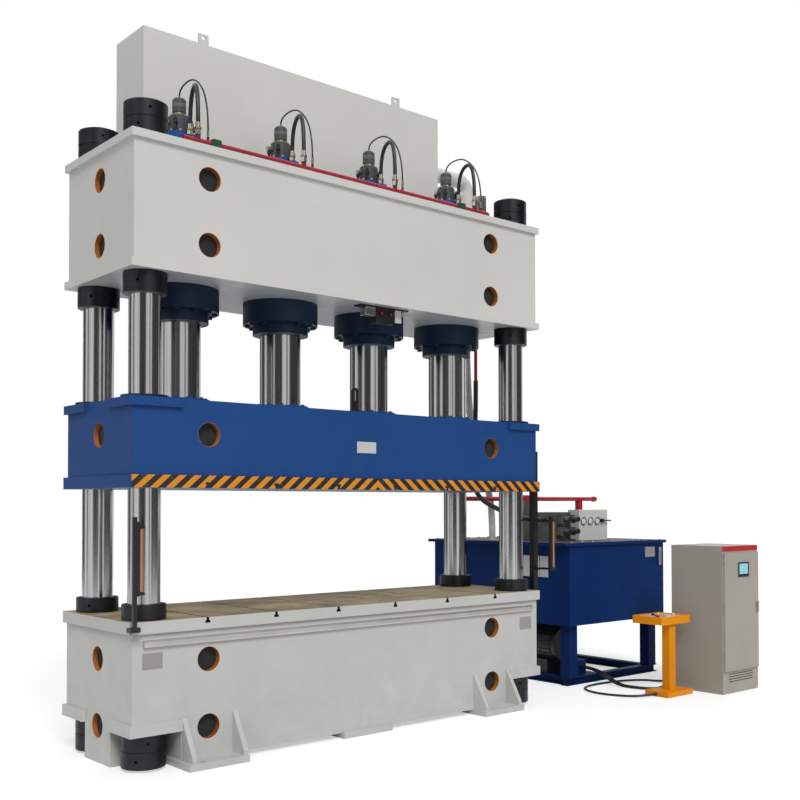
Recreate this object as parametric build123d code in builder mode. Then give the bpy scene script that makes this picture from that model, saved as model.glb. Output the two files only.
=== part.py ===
from build123d import *
import math
import os

os.makedirs("parts", exist_ok=True)

# A four-column hydraulic press with four cylinders, its power unit,
# its control cabinet and its push-button console.
# x runs along the press's front, y goes to its rear, z is up from the floor.

# plates and bodies of the welded frame
plate_length = 5000
plate_depth = 1430
body_inset = 30
wall = 60
body_length = plate_length - 2 * body_inset
body_depth = plate_depth - 2 * body_inset
half_length = plate_length / 2
half_depth = plate_depth / 2
hole_r = 110
hole_x = half_length - 750

# columns and their nuts
column_r = 140
column_x = half_length - 235
column_y = half_depth - 235
column_low = 12
column_tube_r = 200
nut_r = 190
nut_bevel = 6
nut_hole_r = 13
nut_hole_depth = 30
double_nut_height = 300
nut_groove = 6
beam_nut_height = 190
bed_nut_height = 135
column_past_nut = 20

# bed
foot_plate = 60
foot_reach = half_depth + 185
foot_mid = half_length - 750
foot_length = 590
foot_mid_half = 300
foot_mid_reach = half_depth + 20
anchor_r = 21
anchor_x = half_length - 605
anchor_pitch = 290
anchor_y = half_depth + 125
gusset_thick = 45
gusset_x = (half_length - 1012, half_length - 510)
gusset_top = 425
bed_bottom = 50
notch_x = half_length - 485
leg_half = 265
notch_z = 320
flange_thick = 100
bed_plate_low = 1185
bed_plate_thick = 105
bed_hole_z = (325, 917)
bed_rib_x = 0.12 * plate_length
web_y = 300
web_thick = 60

# T-slots, the same in the bed and in the slide
slot_pitch = 0.142 * plate_length
slot_count = 6
slot_neck = 28
slot_head = 50
slot_head_high = 22
slot_deep = 50

# slide
slide_low = 2430
slide_plate = 110
slide_top = 3210
slide_corner_plate = 80
slide_hole_z = 2905
guide_wall = 30
guide_ring_r = 205
guide_ring_high = 25
slide_lug_x = -109
slide_lug_y = half_depth - 65
slide_lug_r = 37
slide_lug_high = 200
slide_lug_thick = 24

# upper beam
beam_low = 4310
beam_plate = 70
beam_top = 5490
beam_hole_z = (4602, 5192)

# main cylinders and plungers
cylinder_pitch = 0.226 * plate_length
plunger_r = 205
plunger_top = 4860
plunger_flange_r = 290
plunger_flange_high = 60
running_gap = 0.05
cylinder_r = 250
cylinder_bore_r = 212
cylinder_bore_top = 5440
cylinder_flange_r = 375
cylinder_flange_high = 220
gland_r = 278
gland_high = 100
head_r = 170
head_top = 5770
port_y = 215
port_top = 5720
port_low = 5600
port_half = 45

# prefill valve on each cylinder head
valve_base_r = 125
valve_base_high = 25
valve_body_r = 100
valve_body_top = 5960
valve_neck_r = 45
valve_cap_low = 5995
valve_cap_r = 65
valve_cap_top = 6120

# pressure pipe along the top of the beam
pipe_r = 21
pipe_y = half_depth - 75
pipe_z = 5535
pipe_left = half_length - 510
pipe_slant = 250
pipe_bend = 75
riser_x = half_length + 230
riser_y = 600
riser_low = 3850
supply_r = 30
branch_shift = 150
branch_top = 5585
pilot_shift = 50
pilot_branch_r = 10
clamp_xs = (0.268 * plate_length, -0.3336 * plate_length)

# hoses and their fittings
main_hose_r = 20
main_fit_r = 30
main_fit_high = 110
main_arch = 6100
pilot_hose_r = 8
pilot_fit_r = 13
pilot_fit_high = 60
pilot_start_z = valve_cap_top + 25
pilot_arch = pilot_start_z + 115

# upper tank and return line
tank_x = half_length - 615
tank_front = 360
tank_high = 1415
tank_rear = tank_front + 595
tank_top = beam_top + tank_high
tank_wall = 8
lug_thick = 20
lug_x = 0.248 * plate_length
lug_width = 110
lug_high = 110
lug_hole_r = 22
return_r = 90
return_y = 760
return_x = half_length + 220
return_z = 6400
return_low = 4650
return_bend = 130
return_hose_r = 45
drain_r = 38
breather_r = 52
breather_high = 410
breather_spot = (half_length - 400, -170)

# power unit beside the press
unit_x = half_length + 950
return_foot_x = unit_x + 150
return_foot_y = 1200
unit_width = 1980
unit_front = 330
unit_rear = 2280
unit_lid_top = 1800
unit_lid = 40
unit_lip = 30
unit_lip_left = 100
unit_pipe_y = 1000
unit_pipe_z = 2360
unit_pipe_r = 30
block_x = unit_x + 540
block_y = 420
block_wide = 320
block_high = 380
block_deep = 300
solenoid_body = 110
solenoid_coil = 90
supply_z = 2080
supply_boss = 20
unit_pipe_left = unit_x - 540
unit_pipe_long = 2600
unit_pipe_end = 60
pipe_stand_x = unit_x + 1700
unit_low = 760
unit_wall = 8
unit_leg = 150
unit_leg_inset = 110
skid_high = 100
skid_wide = 110
skid_web = 12
motor_r = 230
motor_y = 150
motor_z = 480
motor_x = unit_x + 350
motor_length = 620
pump_r = 120
pump_length = 330
coupling_r = 90
coupling_length = 110
motor_flange = 30
fan_cover = 70
suction_r = 45
motor_plate_x = 560
motor_plate_y = 1600

# gauge box on the power unit
box_x = unit_x + 900
box_width = 590
box_front = -300
box_base_depth = 330
box_top_depth = 130
box_top = 2210
gauge_r = 52
gauge_x = 75
gauge_pitch = 141
gauge_z = 2062
gauge_high = 22
lever_x = box_x + 450
lever_hub_r = 26
lever_reach = 125

# junction box on the power unit's frame, where the floor cables end
junction_x = unit_x + 590
junction_y = 100
junction_wide = 180
junction_deep = 200
junction_high = 160
junction_cable_z = skid_high + 75
cable_r = 14
cable_straight = 70
floor_z = cable_r + 1

# duct, plates and the light bars at the press
duct_x = half_length - 126
duct_z = 1097
name_plate_x = half_length - 215
name_plate_z = 950
name_plate_wide = 184
name_plate_high = 138
duct_high = 62
duct_deep = 34
sensor_x = 310
sensor_y = 155 - half_depth
post_x = half_length + 60
post_y = 155 - half_depth
post_wide = 70
post_low = 1180
post_top = 2900
bar_r = 19
bar_low = 1540
bar_high = 575

# control cabinet
cab_x = half_length + 1950
cab_y = -1870
cab_width = 760
cab_depth = 740
cab_high = 1775
plinth_high = 100
door_thick = 24
door_low = 270
door_top = 1690
door_side = 16
door_gap = 1
cab_wall = 30
hinge_r = 8
hinge_high = 50
louvre_deep = 12
gland_long = 20
gland_z = 70
cable_gland_r = 17
gland_ys = (cab_y + cab_depth - 55, cab_y + cab_depth - 18)
handle_z = 1060
handle_x = cab_x + cab_width - 62
hmi_x = 405
hmi_width = 236
hmi_low = 1395
hmi_high = 180

# console
con_x = half_length + 1540
con_y = -1385
con_base_x = 500
con_base_y = 350
con_base_high = 60
con_post = 120
con_head_x = 560
con_head_y = 460
con_head_low = 845
con_head_high = 90
con_top = con_head_low + con_head_high
head_x = con_x + 35
head_y = con_y + 135
panel_z = con_top - 12
button_r = 18
button_gap = 0.3
button_stem = 14
well_deep = 24
button_spots = ((head_x - 150, head_y - 60), (head_x - 20, head_y - 60))

beam_bottom_nut = beam_low - beam_nut_height
bed_top = bed_plate_low + bed_plate_thick
column_top = beam_top + double_nut_height + column_past_nut
column_spots = ((-column_x, -column_y), (column_x, -column_y), (-column_x, column_y), (column_x, column_y))
column_names = ("front_left", "front_right", "rear_left", "rear_right")
cylinder_xs = [(i - 1.5) * cylinder_pitch for i in range(4)]
cylinder_spots = [(x, 0) for x in cylinder_xs]
slot_xs = [(i - (slot_count - 1) / 2) * slot_pitch for i in range(slot_count)]
corner_mid_x = (notch_x + plate_length / 2) / 2
corner_mid_y = (leg_half + plate_depth / 2) / 2
corner_spots = [(sx * corner_mid_x, sy * corner_mid_y) for sx in (-1, 1) for sy in (-1, 1)]
corner_size_x = plate_length / 2 - notch_x
corner_size_y = plate_depth / 2 - leg_half


def save(piece, label):
    piece.part.label = label
    export_step(piece.part, f"parts/{label}.step")


def tube(points, tube_r, bends):
    """A round bar or hose along straight runs joined by tangent arcs."""
    with BuildPart() as bar:
        with BuildLine() as route:
            FilletPolyline(*points, radius=bends)
        with BuildSketch(Plane(origin=route.line @ 0, z_dir=route.line % 0)):
            Circle(tube_r)
        sweep(path=route.line)
    return bar


def bend_radii(points, share=0.45):
    """A gentle bend at each corner, taken from the shorter of its two runs."""
    radii = []
    for before, corner, after in zip(points, points[1:], points[2:]):
        first = Vector(*corner) - Vector(*before)
        second = Vector(*after) - Vector(*corner)
        half_turn = math.radians(first.get_angle(second)) / 2
        radii.append(share * min(first.length, second.length) / math.tan(half_turn))
    return radii


def hose(points, hose_r, label):
    radii = bend_radii(points)
    piece = tube(points, hose_r, radii)
    length = round(piece.part.volume / (math.pi * hose_r ** 2))
    print(label, "length", length, "radii", [round(r) for r in radii])
    save(piece, label)


# Bed
with BuildPart() as bed:
    with BuildSketch(Plane.XY.offset(notch_z)):
        Rectangle(body_length, body_depth)
    extrude(amount=bed_plate_low - notch_z)
    with BuildSketch(Plane.XY.offset(bed_bottom)):
        Rectangle(2 * notch_x, body_depth)
    extrude(amount=notch_z - bed_bottom)
    with BuildSketch():
        Rectangle(body_length, 2 * leg_half)
    extrude(amount=notch_z)
    with BuildSketch(Plane.XY.offset(notch_z)):
        with Locations(*corner_spots):
            Rectangle(corner_size_x, corner_size_y)
    extrude(amount=flange_thick)
    # hollow inside, open below
    with BuildSketch(Plane.XY.offset(notch_z + flange_thick)):
        Rectangle(body_length - 2 * wall, body_depth - 2 * wall)
    extrude(amount=bed_plate_low - notch_z - flange_thick, mode=Mode.SUBTRACT)
    with BuildSketch():
        Rectangle(2 * (notch_x - wall), body_depth - 2 * wall)
        Rectangle(body_length - 2 * wall, 2 * (leg_half - wall))
    extrude(amount=notch_z + flange_thick, mode=Mode.SUBTRACT)
    # cross ribs and column tubes
    with BuildSketch(Plane.XY.offset(bed_bottom)):
        with Locations((-bed_rib_x, 0), (bed_rib_x, 0)):
            Rectangle(wall, body_depth - wall)
        with Locations((0, -web_y), (0, web_y)):
            Rectangle(2 * notch_x - wall, web_thick)
    extrude(amount=bed_plate_low - bed_bottom)
    with BuildSketch(Plane.XY.offset(notch_z)):
        with Locations(*column_spots):
            Circle(column_tube_r)
    extrude(amount=bed_plate_low - notch_z)
    with BuildSketch():
        with Locations(*column_spots):
            Circle(column_r + running_gap)
    extrude(amount=bed_plate_low, mode=Mode.SUBTRACT)
    # feet under the front and the rear wall
    foot_y = (foot_reach + body_depth / 2) / 2
    with BuildSketch():
        with Locations(*[(sx * foot_mid, sy * foot_y) for sx in (-1, 1) for sy in (-1, 1)]):
            Rectangle(foot_length, foot_reach - body_depth / 2)
        Rectangle(2 * foot_mid_half, 2 * foot_mid_reach)
        with Locations((-foot_mid, 0), (foot_mid, 0)):
            Rectangle(foot_length, body_depth)
    extrude(amount=foot_plate)
    for side in (-1, 1):
        for gx in gusset_x:
            for hand in (-1, 1):
                with BuildSketch(Plane.YZ.offset(hand * gx - gusset_thick / 2)):
                    with BuildLine():
                        Polyline(
                            (side * (body_depth / 2 - wall / 2), foot_plate),
                            (side * (foot_reach - 12), foot_plate),
                            (side * (foot_reach - 12), foot_plate + 40),
                            (side * (body_depth / 2 + 12), gusset_top),
                            (side * (body_depth / 2 - wall / 2), gusset_top),
                            close=True,
                        )
                    make_face()
                extrude(amount=gusset_thick)
    # holes
    with Locations(*[(sx * (anchor_x - k * anchor_pitch), sy * anchor_y, foot_plate)
                     for sx in (-1, 1) for sy in (-1, 1) for k in (0, 1)]):
        Hole(anchor_r, depth=foot_plate)
    with BuildSketch(Plane.XZ.offset(-body_depth)):
        with Locations(*[(sx * hole_x, z) for sx in (-1, 1) for z in bed_hole_z]):
            Circle(hole_r)
    extrude(amount=2 * body_depth, mode=Mode.SUBTRACT)
    with BuildSketch(Plane.YZ.offset(-body_length)):
        with Locations(*[(0, z) for z in bed_hole_z]):
            Circle(hole_r)
    extrude(amount=2 * body_length, mode=Mode.SUBTRACT)
save(bed, "bed")

# Bed table with T-slots
with BuildPart() as bed_table:
    with BuildSketch(Plane.XY.offset(bed_plate_low)):
        Rectangle(plate_length, plate_depth)
    extrude(amount=bed_plate_thick)
    chamfer(bed_table.edges().filter_by(Axis.Z), length=6)
    with BuildSketch(Plane.XY.offset(bed_plate_low)):
        with Locations(*column_spots):
            Circle(column_r + running_gap)
    extrude(amount=bed_plate_thick, mode=Mode.SUBTRACT)
    with BuildSketch(Plane.XZ.offset(-plate_depth)):
        for slot_x in slot_xs:
            with Locations((slot_x, bed_top - slot_deep / 2)):
                Rectangle(slot_neck, slot_deep)
            with Locations((slot_x, bed_top - slot_deep + slot_head_high / 2)):
                Rectangle(slot_head, slot_head_high)
    extrude(amount=2 * plate_depth, mode=Mode.SUBTRACT)
save(bed_table, "bed_table")

# Upper beam
with BuildPart() as upper_beam:
    with BuildSketch(Plane.XY.offset(beam_low)):
        Rectangle(plate_length, plate_depth)
    extrude(amount=beam_plate)
    with BuildSketch(Plane.XY.offset(beam_top - beam_plate)):
        Rectangle(plate_length, plate_depth)
    extrude(amount=beam_plate)
    with BuildSketch(Plane.XY.offset(beam_low + beam_plate)):
        Rectangle(body_length, body_depth)
        Rectangle(body_length - 2 * wall, body_depth - 2 * wall, mode=Mode.SUBTRACT)
        with Locations((0, 0), (-cylinder_pitch, 0), (cylinder_pitch, 0)):
            Rectangle(wall, body_depth - wall)
        with Locations((0, -web_y), (0, web_y)):
            Rectangle(body_length - wall, web_thick)
        with Locations(*column_spots):
            Circle(column_tube_r)
    extrude(amount=beam_top - beam_low - 2 * beam_plate)
    with BuildSketch(Plane.XY.offset(beam_low)):
        with Locations(*column_spots):
            Circle(column_r + running_gap)
        with Locations(*cylinder_spots):
            Circle(cylinder_r + running_gap)
    extrude(amount=beam_top - beam_low, mode=Mode.SUBTRACT)
    with BuildSketch(Plane.XZ.offset(-body_depth)):
        with Locations(*[(sx * hole_x, z) for sx in (-1, 1) for z in beam_hole_z]):
            Circle(hole_r)
    extrude(amount=2 * body_depth, mode=Mode.SUBTRACT)
    with BuildSketch(Plane.YZ.offset(-body_length)):
        with Locations(*[(0, z) for z in beam_hole_z]):
            Circle(hole_r)
    extrude(amount=2 * body_length, mode=Mode.SUBTRACT)
save(upper_beam, "upper_beam")

# Slide
with BuildPart() as slide:
    with BuildSketch(Plane.XY.offset(slide_low)):
        Rectangle(plate_length, plate_depth)
    extrude(amount=slide_plate)
    with BuildSketch(Plane.XY.offset(slide_low + slide_plate)):
        Rectangle(body_length, body_depth)
        Rectangle(body_length - 2 * wall, body_depth - 2 * wall, mode=Mode.SUBTRACT)
        with Locations((-bed_rib_x, 0), (bed_rib_x, 0)):
            Rectangle(wall, body_depth - wall)
        with Locations((0, -web_y), (0, web_y)):
            Rectangle(body_length - wall, web_thick)
        with Locations(*column_spots):
            Circle(column_tube_r)
    extrude(amount=slide_top - slide_low - slide_plate)
    with BuildSketch(Plane.XY.offset(slide_top - slide_corner_plate)):
        Rectangle(body_length, body_depth)
        with Locations(*corner_spots):
            Rectangle(corner_size_x, corner_size_y)
    extrude(amount=slide_corner_plate)
    with BuildSketch(Plane.XY.offset(slide_low)):
        with Locations(*column_spots):
            Circle(column_r + guide_wall)
    extrude(amount=slide_top - slide_low, mode=Mode.SUBTRACT)
    with BuildSketch(Plane.XZ.offset(-plate_depth)):
        for slot_x in slot_xs:
            with Locations((slot_x, slide_low + slot_deep / 2)):
                Rectangle(slot_neck, slot_deep)
            with Locations((slot_x, slide_low + slot_deep - slot_head_high / 2)):
                Rectangle(slot_head, slot_head_high)
    extrude(amount=2 * plate_depth, mode=Mode.SUBTRACT)
    with BuildSketch(Plane.XZ.offset(-body_depth)):
        with Locations((-hole_x, slide_hole_z), (hole_x, slide_hole_z)):
            Circle(hole_r)
    extrude(amount=2 * body_depth, mode=Mode.SUBTRACT)
    with BuildSketch(Plane.YZ.offset(-body_length)):
        with Locations((0, slide_hole_z)):
            Circle(hole_r)
    extrude(amount=2 * body_length, mode=Mode.SUBTRACT)
save(slide, "slide")

# Guide bushes that the slide runs on, each with its wiper ring
with BuildPart() as guide_bushes:
    with BuildSketch(Plane.XY.offset(slide_low)):
        with Locations(*column_spots):
            Circle(column_r + guide_wall - running_gap)
    extrude(amount=slide_top - slide_low)
    with BuildSketch(Plane.XY.offset(slide_top)):
        with Locations(*column_spots):
            Circle(guide_ring_r)
    extrude(amount=guide_ring_high)
    with BuildSketch(Plane.XY.offset(slide_low)):
        with Locations(*column_spots):
            Circle(column_r + running_gap)
    extrude(amount=slide_top - slide_low + guide_ring_high, mode=Mode.SUBTRACT)
save(guide_bushes, "guide_bushes")

# Lifting lugs on the front and the rear edge of the slide's top
with BuildPart() as slide_lugs:
    for lug_side in (-1, 1):
        with BuildSketch(Plane.XZ.offset(-lug_side * slide_lug_y - slide_lug_thick / 2)):
            with Locations((slide_lug_x, slide_top + slide_lug_high / 2)):
                Rectangle(2 * slide_lug_r, slide_lug_high)
            with Locations((slide_lug_x, slide_top + slide_lug_high)):
                Circle(slide_lug_r)
            with Locations((slide_lug_x, slide_top + slide_lug_high - 40)):
                SlotOverall(110, 34, rotation=90, mode=Mode.SUBTRACT)
        extrude(amount=slide_lug_thick)
save(slide_lugs, "slide_lugs")

# Columns
for column_name, column_spot in zip(column_names, column_spots):
    with BuildPart() as column:
        with BuildSketch(Plane.XY.offset(column_low)):
            with Locations(column_spot):
                Circle(column_r)
        extrude(amount=column_top - column_low)
        chamfer(column.edges().filter_by(GeomType.CIRCLE), length=6)
    save(column, f"column_{column_name}")


def ring_nuts(low, rings, ring_high):
    """A nut on each column made of rings, with holes for the tommy bar."""
    with BuildPart() as nuts:
        for ring in range(rings):
            ring_low = low + ring * ring_high
            with BuildSketch(Plane.XY.offset(ring_low)):
                with Locations(*column_spots):
                    Circle(nut_r)
            extrude(amount=ring_high)
        chamfer(nuts.edges().filter_by(GeomType.CIRCLE).group_by(Axis.Z)[-1], length=nut_bevel)
        chamfer(nuts.edges().filter_by(GeomType.CIRCLE).group_by(Axis.Z)[0], length=nut_bevel)
        if rings > 1:
            with BuildSketch(Plane.XY.offset(low + ring_high - nut_groove / 2)):
                with Locations(*column_spots):
                    Circle(nut_r + 1)
                    Circle(nut_r - nut_groove, mode=Mode.SUBTRACT)
            extrude(amount=nut_groove, mode=Mode.SUBTRACT)
        with BuildSketch(Plane.XY.offset(low)):
            with Locations(*column_spots):
                Circle(column_r + running_gap)
        extrude(amount=rings * ring_high, mode=Mode.SUBTRACT)
        for spot_x, spot_y in column_spots:
            for ring in range(rings):
                hole_z = low + (ring + 0.5) * ring_high
                for turn in range(4):
                    aim = math.radians(45 + 90 * turn + 30 * ring)
                    spoke = Plane(
                        origin=(spot_x + (nut_r - nut_hole_depth) * math.cos(aim),
                                spot_y + (nut_r - nut_hole_depth) * math.sin(aim), hole_z),
                        z_dir=(math.cos(aim), math.sin(aim), 0),
                    )
                    with BuildSketch(spoke):
                        Circle(nut_hole_r)
                    extrude(amount=2 * nut_hole_depth, mode=Mode.SUBTRACT)
    return nuts


save(ring_nuts(beam_top, 2, double_nut_height / 2), "top_nuts")
save(ring_nuts(notch_z - double_nut_height, 2, double_nut_height / 2), "bottom_nuts")
with BuildPart() as clamp_nuts:
    add(ring_nuts(beam_bottom_nut, 1, beam_nut_height).part)
    add(ring_nuts(bed_top, 1, bed_nut_height).part)
save(clamp_nuts, "clamp_nuts")

# Cylinders, plungers, hoses and fittings, one set for each cylinder
flange_low = beam_low - cylinder_flange_high
gland_low = flange_low - gland_high
for number, cylinder_x in enumerate(cylinder_xs, start=1):
    with BuildPart() as cylinder:
        with BuildSketch(Plane.XZ):
            with BuildLine():
                Polyline(
                    (cylinder_x + plunger_r + running_gap, gland_low),
                    (cylinder_x + gland_r, gland_low),
                    (cylinder_x + gland_r, flange_low),
                    (cylinder_x + cylinder_flange_r, flange_low),
                    (cylinder_x + cylinder_flange_r, beam_low),
                    (cylinder_x + cylinder_r, beam_low),
                    (cylinder_x + cylinder_r, beam_top),
                    (cylinder_x + head_r, beam_top + 40),
                    (cylinder_x + head_r, head_top),
                    (cylinder_x, head_top),
                    (cylinder_x, cylinder_bore_top),
                    (cylinder_x + cylinder_bore_r, cylinder_bore_top),
                    (cylinder_x + cylinder_bore_r, flange_low),
                    (cylinder_x + plunger_r + running_gap, flange_low),
                    close=True,
                )
            make_face()
        revolve(axis=Axis((cylinder_x, 0, 0), (0, 0, 1)))
        with BuildSketch(Plane.XY.offset(port_low)):
            with Locations((cylinder_x, -(head_r + port_y + port_half) / 2 + 20)):
                Rectangle(2 * port_half, port_y + port_half - head_r + 40)
        extrude(amount=port_top - port_low)
        with BuildSketch(Plane.XY.offset(gland_low)):
            with Locations((cylinder_x, 0)):
                with PolarLocations((cylinder_r + cylinder_flange_r) / 2 + 18, 12):
                    Circle(15)
        extrude(amount=gland_high - 30)
        with BuildSketch(Plane.XY.offset(gland_low)):
            with Locations((cylinder_x, 0)):
                with PolarLocations((cylinder_r + cylinder_flange_r) / 2 + 18, 12):
                    Circle(16)
        extrude(amount=gland_high - 30, mode=Mode.SUBTRACT)
        with BuildSketch(Plane.XY.offset(flange_low - 22)):
            with Locations((cylinder_x, 0)):
                with PolarLocations((cylinder_r + cylinder_flange_r) / 2 + 18, 12):
                    RegularPolygon(25, 6)
        extrude(amount=22)
    save(cylinder, f"cylinder_{number}")

    with BuildPart() as plunger:
        with BuildSketch(Plane.XY.offset(slide_top)):
            with Locations((cylinder_x, 0)):
                Circle(plunger_r)
        extrude(amount=plunger_top - slide_top)
        chamfer(plunger.faces().sort_by(Axis.Z)[-1].edges(), length=12)
    save(plunger, f"plunger_{number}")

    hose(
        [
            (cylinder_x, -port_y, port_top + main_fit_high),
            (cylinder_x, -port_y, main_arch),
            (cylinder_x - branch_shift, -pipe_y, main_arch),
            (cylinder_x - branch_shift, -pipe_y, branch_top + main_fit_high),
        ],
        main_hose_r,
        f"main_hose_{number}",
    )
    hose(
        [
            (cylinder_x, 0, pilot_start_z),
            (cylinder_x, 0, pilot_arch),
            (cylinder_x - pilot_shift / 2, 260 - pipe_y, pilot_arch - 10),
            (cylinder_x - pilot_shift, -pipe_y, pilot_arch - 330),
            (cylinder_x - pilot_shift, -pipe_y, branch_top + pilot_fit_high),
        ],
        pilot_hose_r,
        f"pilot_hose_{number}",
    )

# Rings that clamp the plungers to the slide
with BuildPart() as plunger_flanges:
    with BuildSketch(Plane.XY.offset(slide_top)):
        with Locations(*cylinder_spots):
            Circle(plunger_flange_r)
            Circle(plunger_r + running_gap, mode=Mode.SUBTRACT)
    extrude(amount=plunger_flange_high)
    chamfer(plunger_flanges.faces().sort_by(Axis.Z)[-1].edges().sort_by(SortBy.LENGTH)[-1], length=8)
    with BuildSketch(Plane.XY.offset(slide_top + plunger_flange_high)):
        for spot in cylinder_spots:
            with Locations(spot):
                with PolarLocations((plunger_r + plunger_flange_r) / 2, 12):
                    RegularPolygon(20, 6)
    extrude(amount=18)
save(plunger_flanges, "plunger_flanges")

# Prefill valves on the cylinder heads
with BuildPart() as prefill_valves:
    for cylinder_x in cylinder_xs:
        with BuildSketch(Plane.XZ):
            with BuildLine():
                Polyline(
                    (cylinder_x, head_top),
                    (cylinder_x + valve_base_r, head_top),
                    (cylinder_x + valve_base_r, head_top + valve_base_high),
                    (cylinder_x + valve_body_r, head_top + valve_base_high),
                    (cylinder_x + valve_body_r, valve_body_top - 15),
                    (cylinder_x + valve_body_r - 15, valve_body_top),
                    (cylinder_x + valve_neck_r, valve_body_top),
                    (cylinder_x + valve_neck_r, valve_cap_low),
                    (cylinder_x + valve_cap_r, valve_cap_low),
                    (cylinder_x + valve_cap_r, valve_cap_top - 10),
                    (cylinder_x + valve_cap_r - 10, valve_cap_top),
                    (cylinder_x, valve_cap_top),
                    close=True,
                )
            make_face()
        revolve(axis=Axis((cylinder_x, 0, 0), (0, 0, 1)))
    # breather with fins, beside the right front column
    with BuildSketch(Plane.XY.offset(beam_top)):
        with Locations(breather_spot):
            Circle(breather_r)
    extrude(amount=breather_high)
save(prefill_valves, "prefill_valves")

# Pressure pipe from the riser to the line along the beam, with its branches
with BuildPart() as pressure_pipe:
    with BuildLine() as pipe_route:
        FilletPolyline(
            (riser_x, riser_y, riser_low),
            (riser_x, riser_y, pipe_z),
            (riser_x, 0, pipe_z),
            (pipe_left, 0, pipe_z),
            (pipe_left, pipe_slant - 30 - pipe_y, pipe_z),
            (pipe_left - pipe_slant, -pipe_y, pipe_z),
            (-pipe_left, -pipe_y, pipe_z),
            radius=pipe_bend,
        )
    with BuildSketch(Plane(origin=(riser_x, riser_y, riser_low), z_dir=(0, 0, 1))):
        Circle(pipe_r)
    sweep(path=pipe_route.line)
    with BuildSketch(Plane.XY.offset(pipe_z)):
        with Locations(*[(x - branch_shift, -pipe_y) for x in cylinder_xs]):
            Circle(pipe_r - 1)
        with Locations(*[(x - pilot_shift, -pipe_y) for x in cylinder_xs]):
            Circle(pilot_branch_r)
    extrude(amount=branch_top - pipe_z)
save(pressure_pipe, "pressure_pipe")

# Clamps that hold the pressure pipe to the beam
with BuildPart() as pipe_clamps:
    with BuildSketch(Plane.XZ.offset(pipe_y - 30)):
        for clamp_x in clamp_xs:
            with Locations((clamp_x, (beam_top + pipe_z + 40) / 2)):
                RectangleRounded(90, pipe_z + 40 - beam_top, 10)
    extrude(amount=60)
    with BuildSketch(Plane.YZ.offset(-plate_length / 2)):
        with Locations((-pipe_y, pipe_z)):
            Circle(pipe_r + running_gap)
    extrude(amount=plate_length, mode=Mode.SUBTRACT)
save(pipe_clamps, "pipe_clamps")

# Hose fittings
with BuildPart() as hose_fittings:
    for cylinder_x in cylinder_xs:
        with BuildSketch(Plane.XY.offset(port_top)):
            with Locations((cylinder_x, -port_y)):
                RegularPolygon(main_fit_r, 6)
        extrude(amount=45)
        with BuildSketch(Plane.XY.offset(port_top)):
            with Locations((cylinder_x, -port_y)):
                Circle(main_hose_r + 3)
        extrude(amount=main_fit_high)
        with BuildSketch(Plane.XY.offset(branch_top)):
            with Locations((cylinder_x - branch_shift, -pipe_y)):
                RegularPolygon(main_fit_r, 6)
        extrude(amount=45)
        with BuildSketch(Plane.XY.offset(branch_top)):
            with Locations((cylinder_x - branch_shift, -pipe_y)):
                Circle(main_hose_r + 3)
        extrude(amount=main_fit_high)
        with BuildSketch(Plane.XY.offset(branch_top)):
            with Locations((cylinder_x - pilot_shift, -pipe_y)):
                RegularPolygon(pilot_fit_r, 6)
        extrude(amount=pilot_fit_high)
        with BuildSketch(Plane.XY.offset(valve_cap_top)):
            with Locations((cylinder_x, 0)):
                RegularPolygon(pilot_fit_r, 6)
        extrude(amount=pilot_start_z - valve_cap_top)
save(hose_fittings, "hose_fittings")

# Upper oil tank with its lifting lugs
with BuildPart() as upper_tank:
    with BuildSketch(Plane.XY.offset(beam_top)):
        with Locations((0, (tank_front + tank_rear) / 2)):
            Rectangle(2 * tank_x, tank_rear - tank_front)
    extrude(amount=tank_top - beam_top)
    with BuildSketch(Plane.XY.offset(beam_top + tank_wall)):
        with Locations((0, (tank_front + tank_rear) / 2)):
            Rectangle(2 * (tank_x - tank_wall), tank_rear - tank_front - 2 * tank_wall)
    extrude(amount=tank_top - beam_top - 2 * tank_wall, mode=Mode.SUBTRACT)
    with BuildSketch(Plane.XZ.offset(-tank_front - lug_thick)):
        for lug_mid in (-lug_x, lug_x):
            with Locations((lug_mid, tank_top + 20)):
                Rectangle(lug_width, 2 * lug_high - 60)
            with Locations((lug_mid, tank_top + lug_high - 45)):
                Circle(lug_hole_r, mode=Mode.SUBTRACT)
    extrude(amount=lug_thick)
save(upper_tank, "upper_tank")

# Return pipe from the upper tank, with the breather above its elbow
with BuildPart() as return_pipe:
    with BuildLine() as return_route:
        FilletPolyline(
            (tank_x, return_y, return_z),
            (return_x, return_y, return_z),
            (return_x, return_y, return_low),
            radius=return_bend,
        )
    with BuildSketch(Plane(origin=(tank_x, return_y, return_z), z_dir=(1, 0, 0))):
        Circle(return_r)
    sweep(path=return_route.line)
    with BuildSketch(Plane.YZ.offset(tank_x)):
        with Locations((return_y, return_z)):
            Circle(return_r + 45)
    extrude(amount=24)
    with BuildSketch(Plane.XY.offset(return_low)):
        with Locations((return_x, return_y)):
            Circle(return_r + 12)
    extrude(amount=60)
    # two thinner drain pipes from the tank into the down pipe
    for drop in (175, 290):
        with BuildSketch(Plane.YZ.offset(tank_x)):
            with Locations((return_y, return_z - drop)):
                Circle(drain_r)
        extrude(amount=return_x - tank_x)
save(return_pipe, "return_pipe")

hose(
    [
        (return_x, return_y, return_low),
        (return_x, return_y, 3500),
        (return_x + 330, return_y + 60, 2650),
        (return_foot_x, return_foot_y, 2350),
        (return_foot_x, return_foot_y, unit_lid_top),
    ],
    return_hose_r,
    "return_hose",
)
hose(
    [
        (riser_x, riser_y, riser_low),
        (riser_x, riser_y, riser_low - 750),
        (riser_x - 110, riser_y, supply_z + 340),
        (riser_x + 470, riser_y - 100, supply_z + 70),
        (block_x - 440, block_y, supply_z),
        (block_x - block_wide / 2 - supply_boss, block_y, supply_z),
    ],
    supply_r,
    "supply_hose",
)

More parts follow.
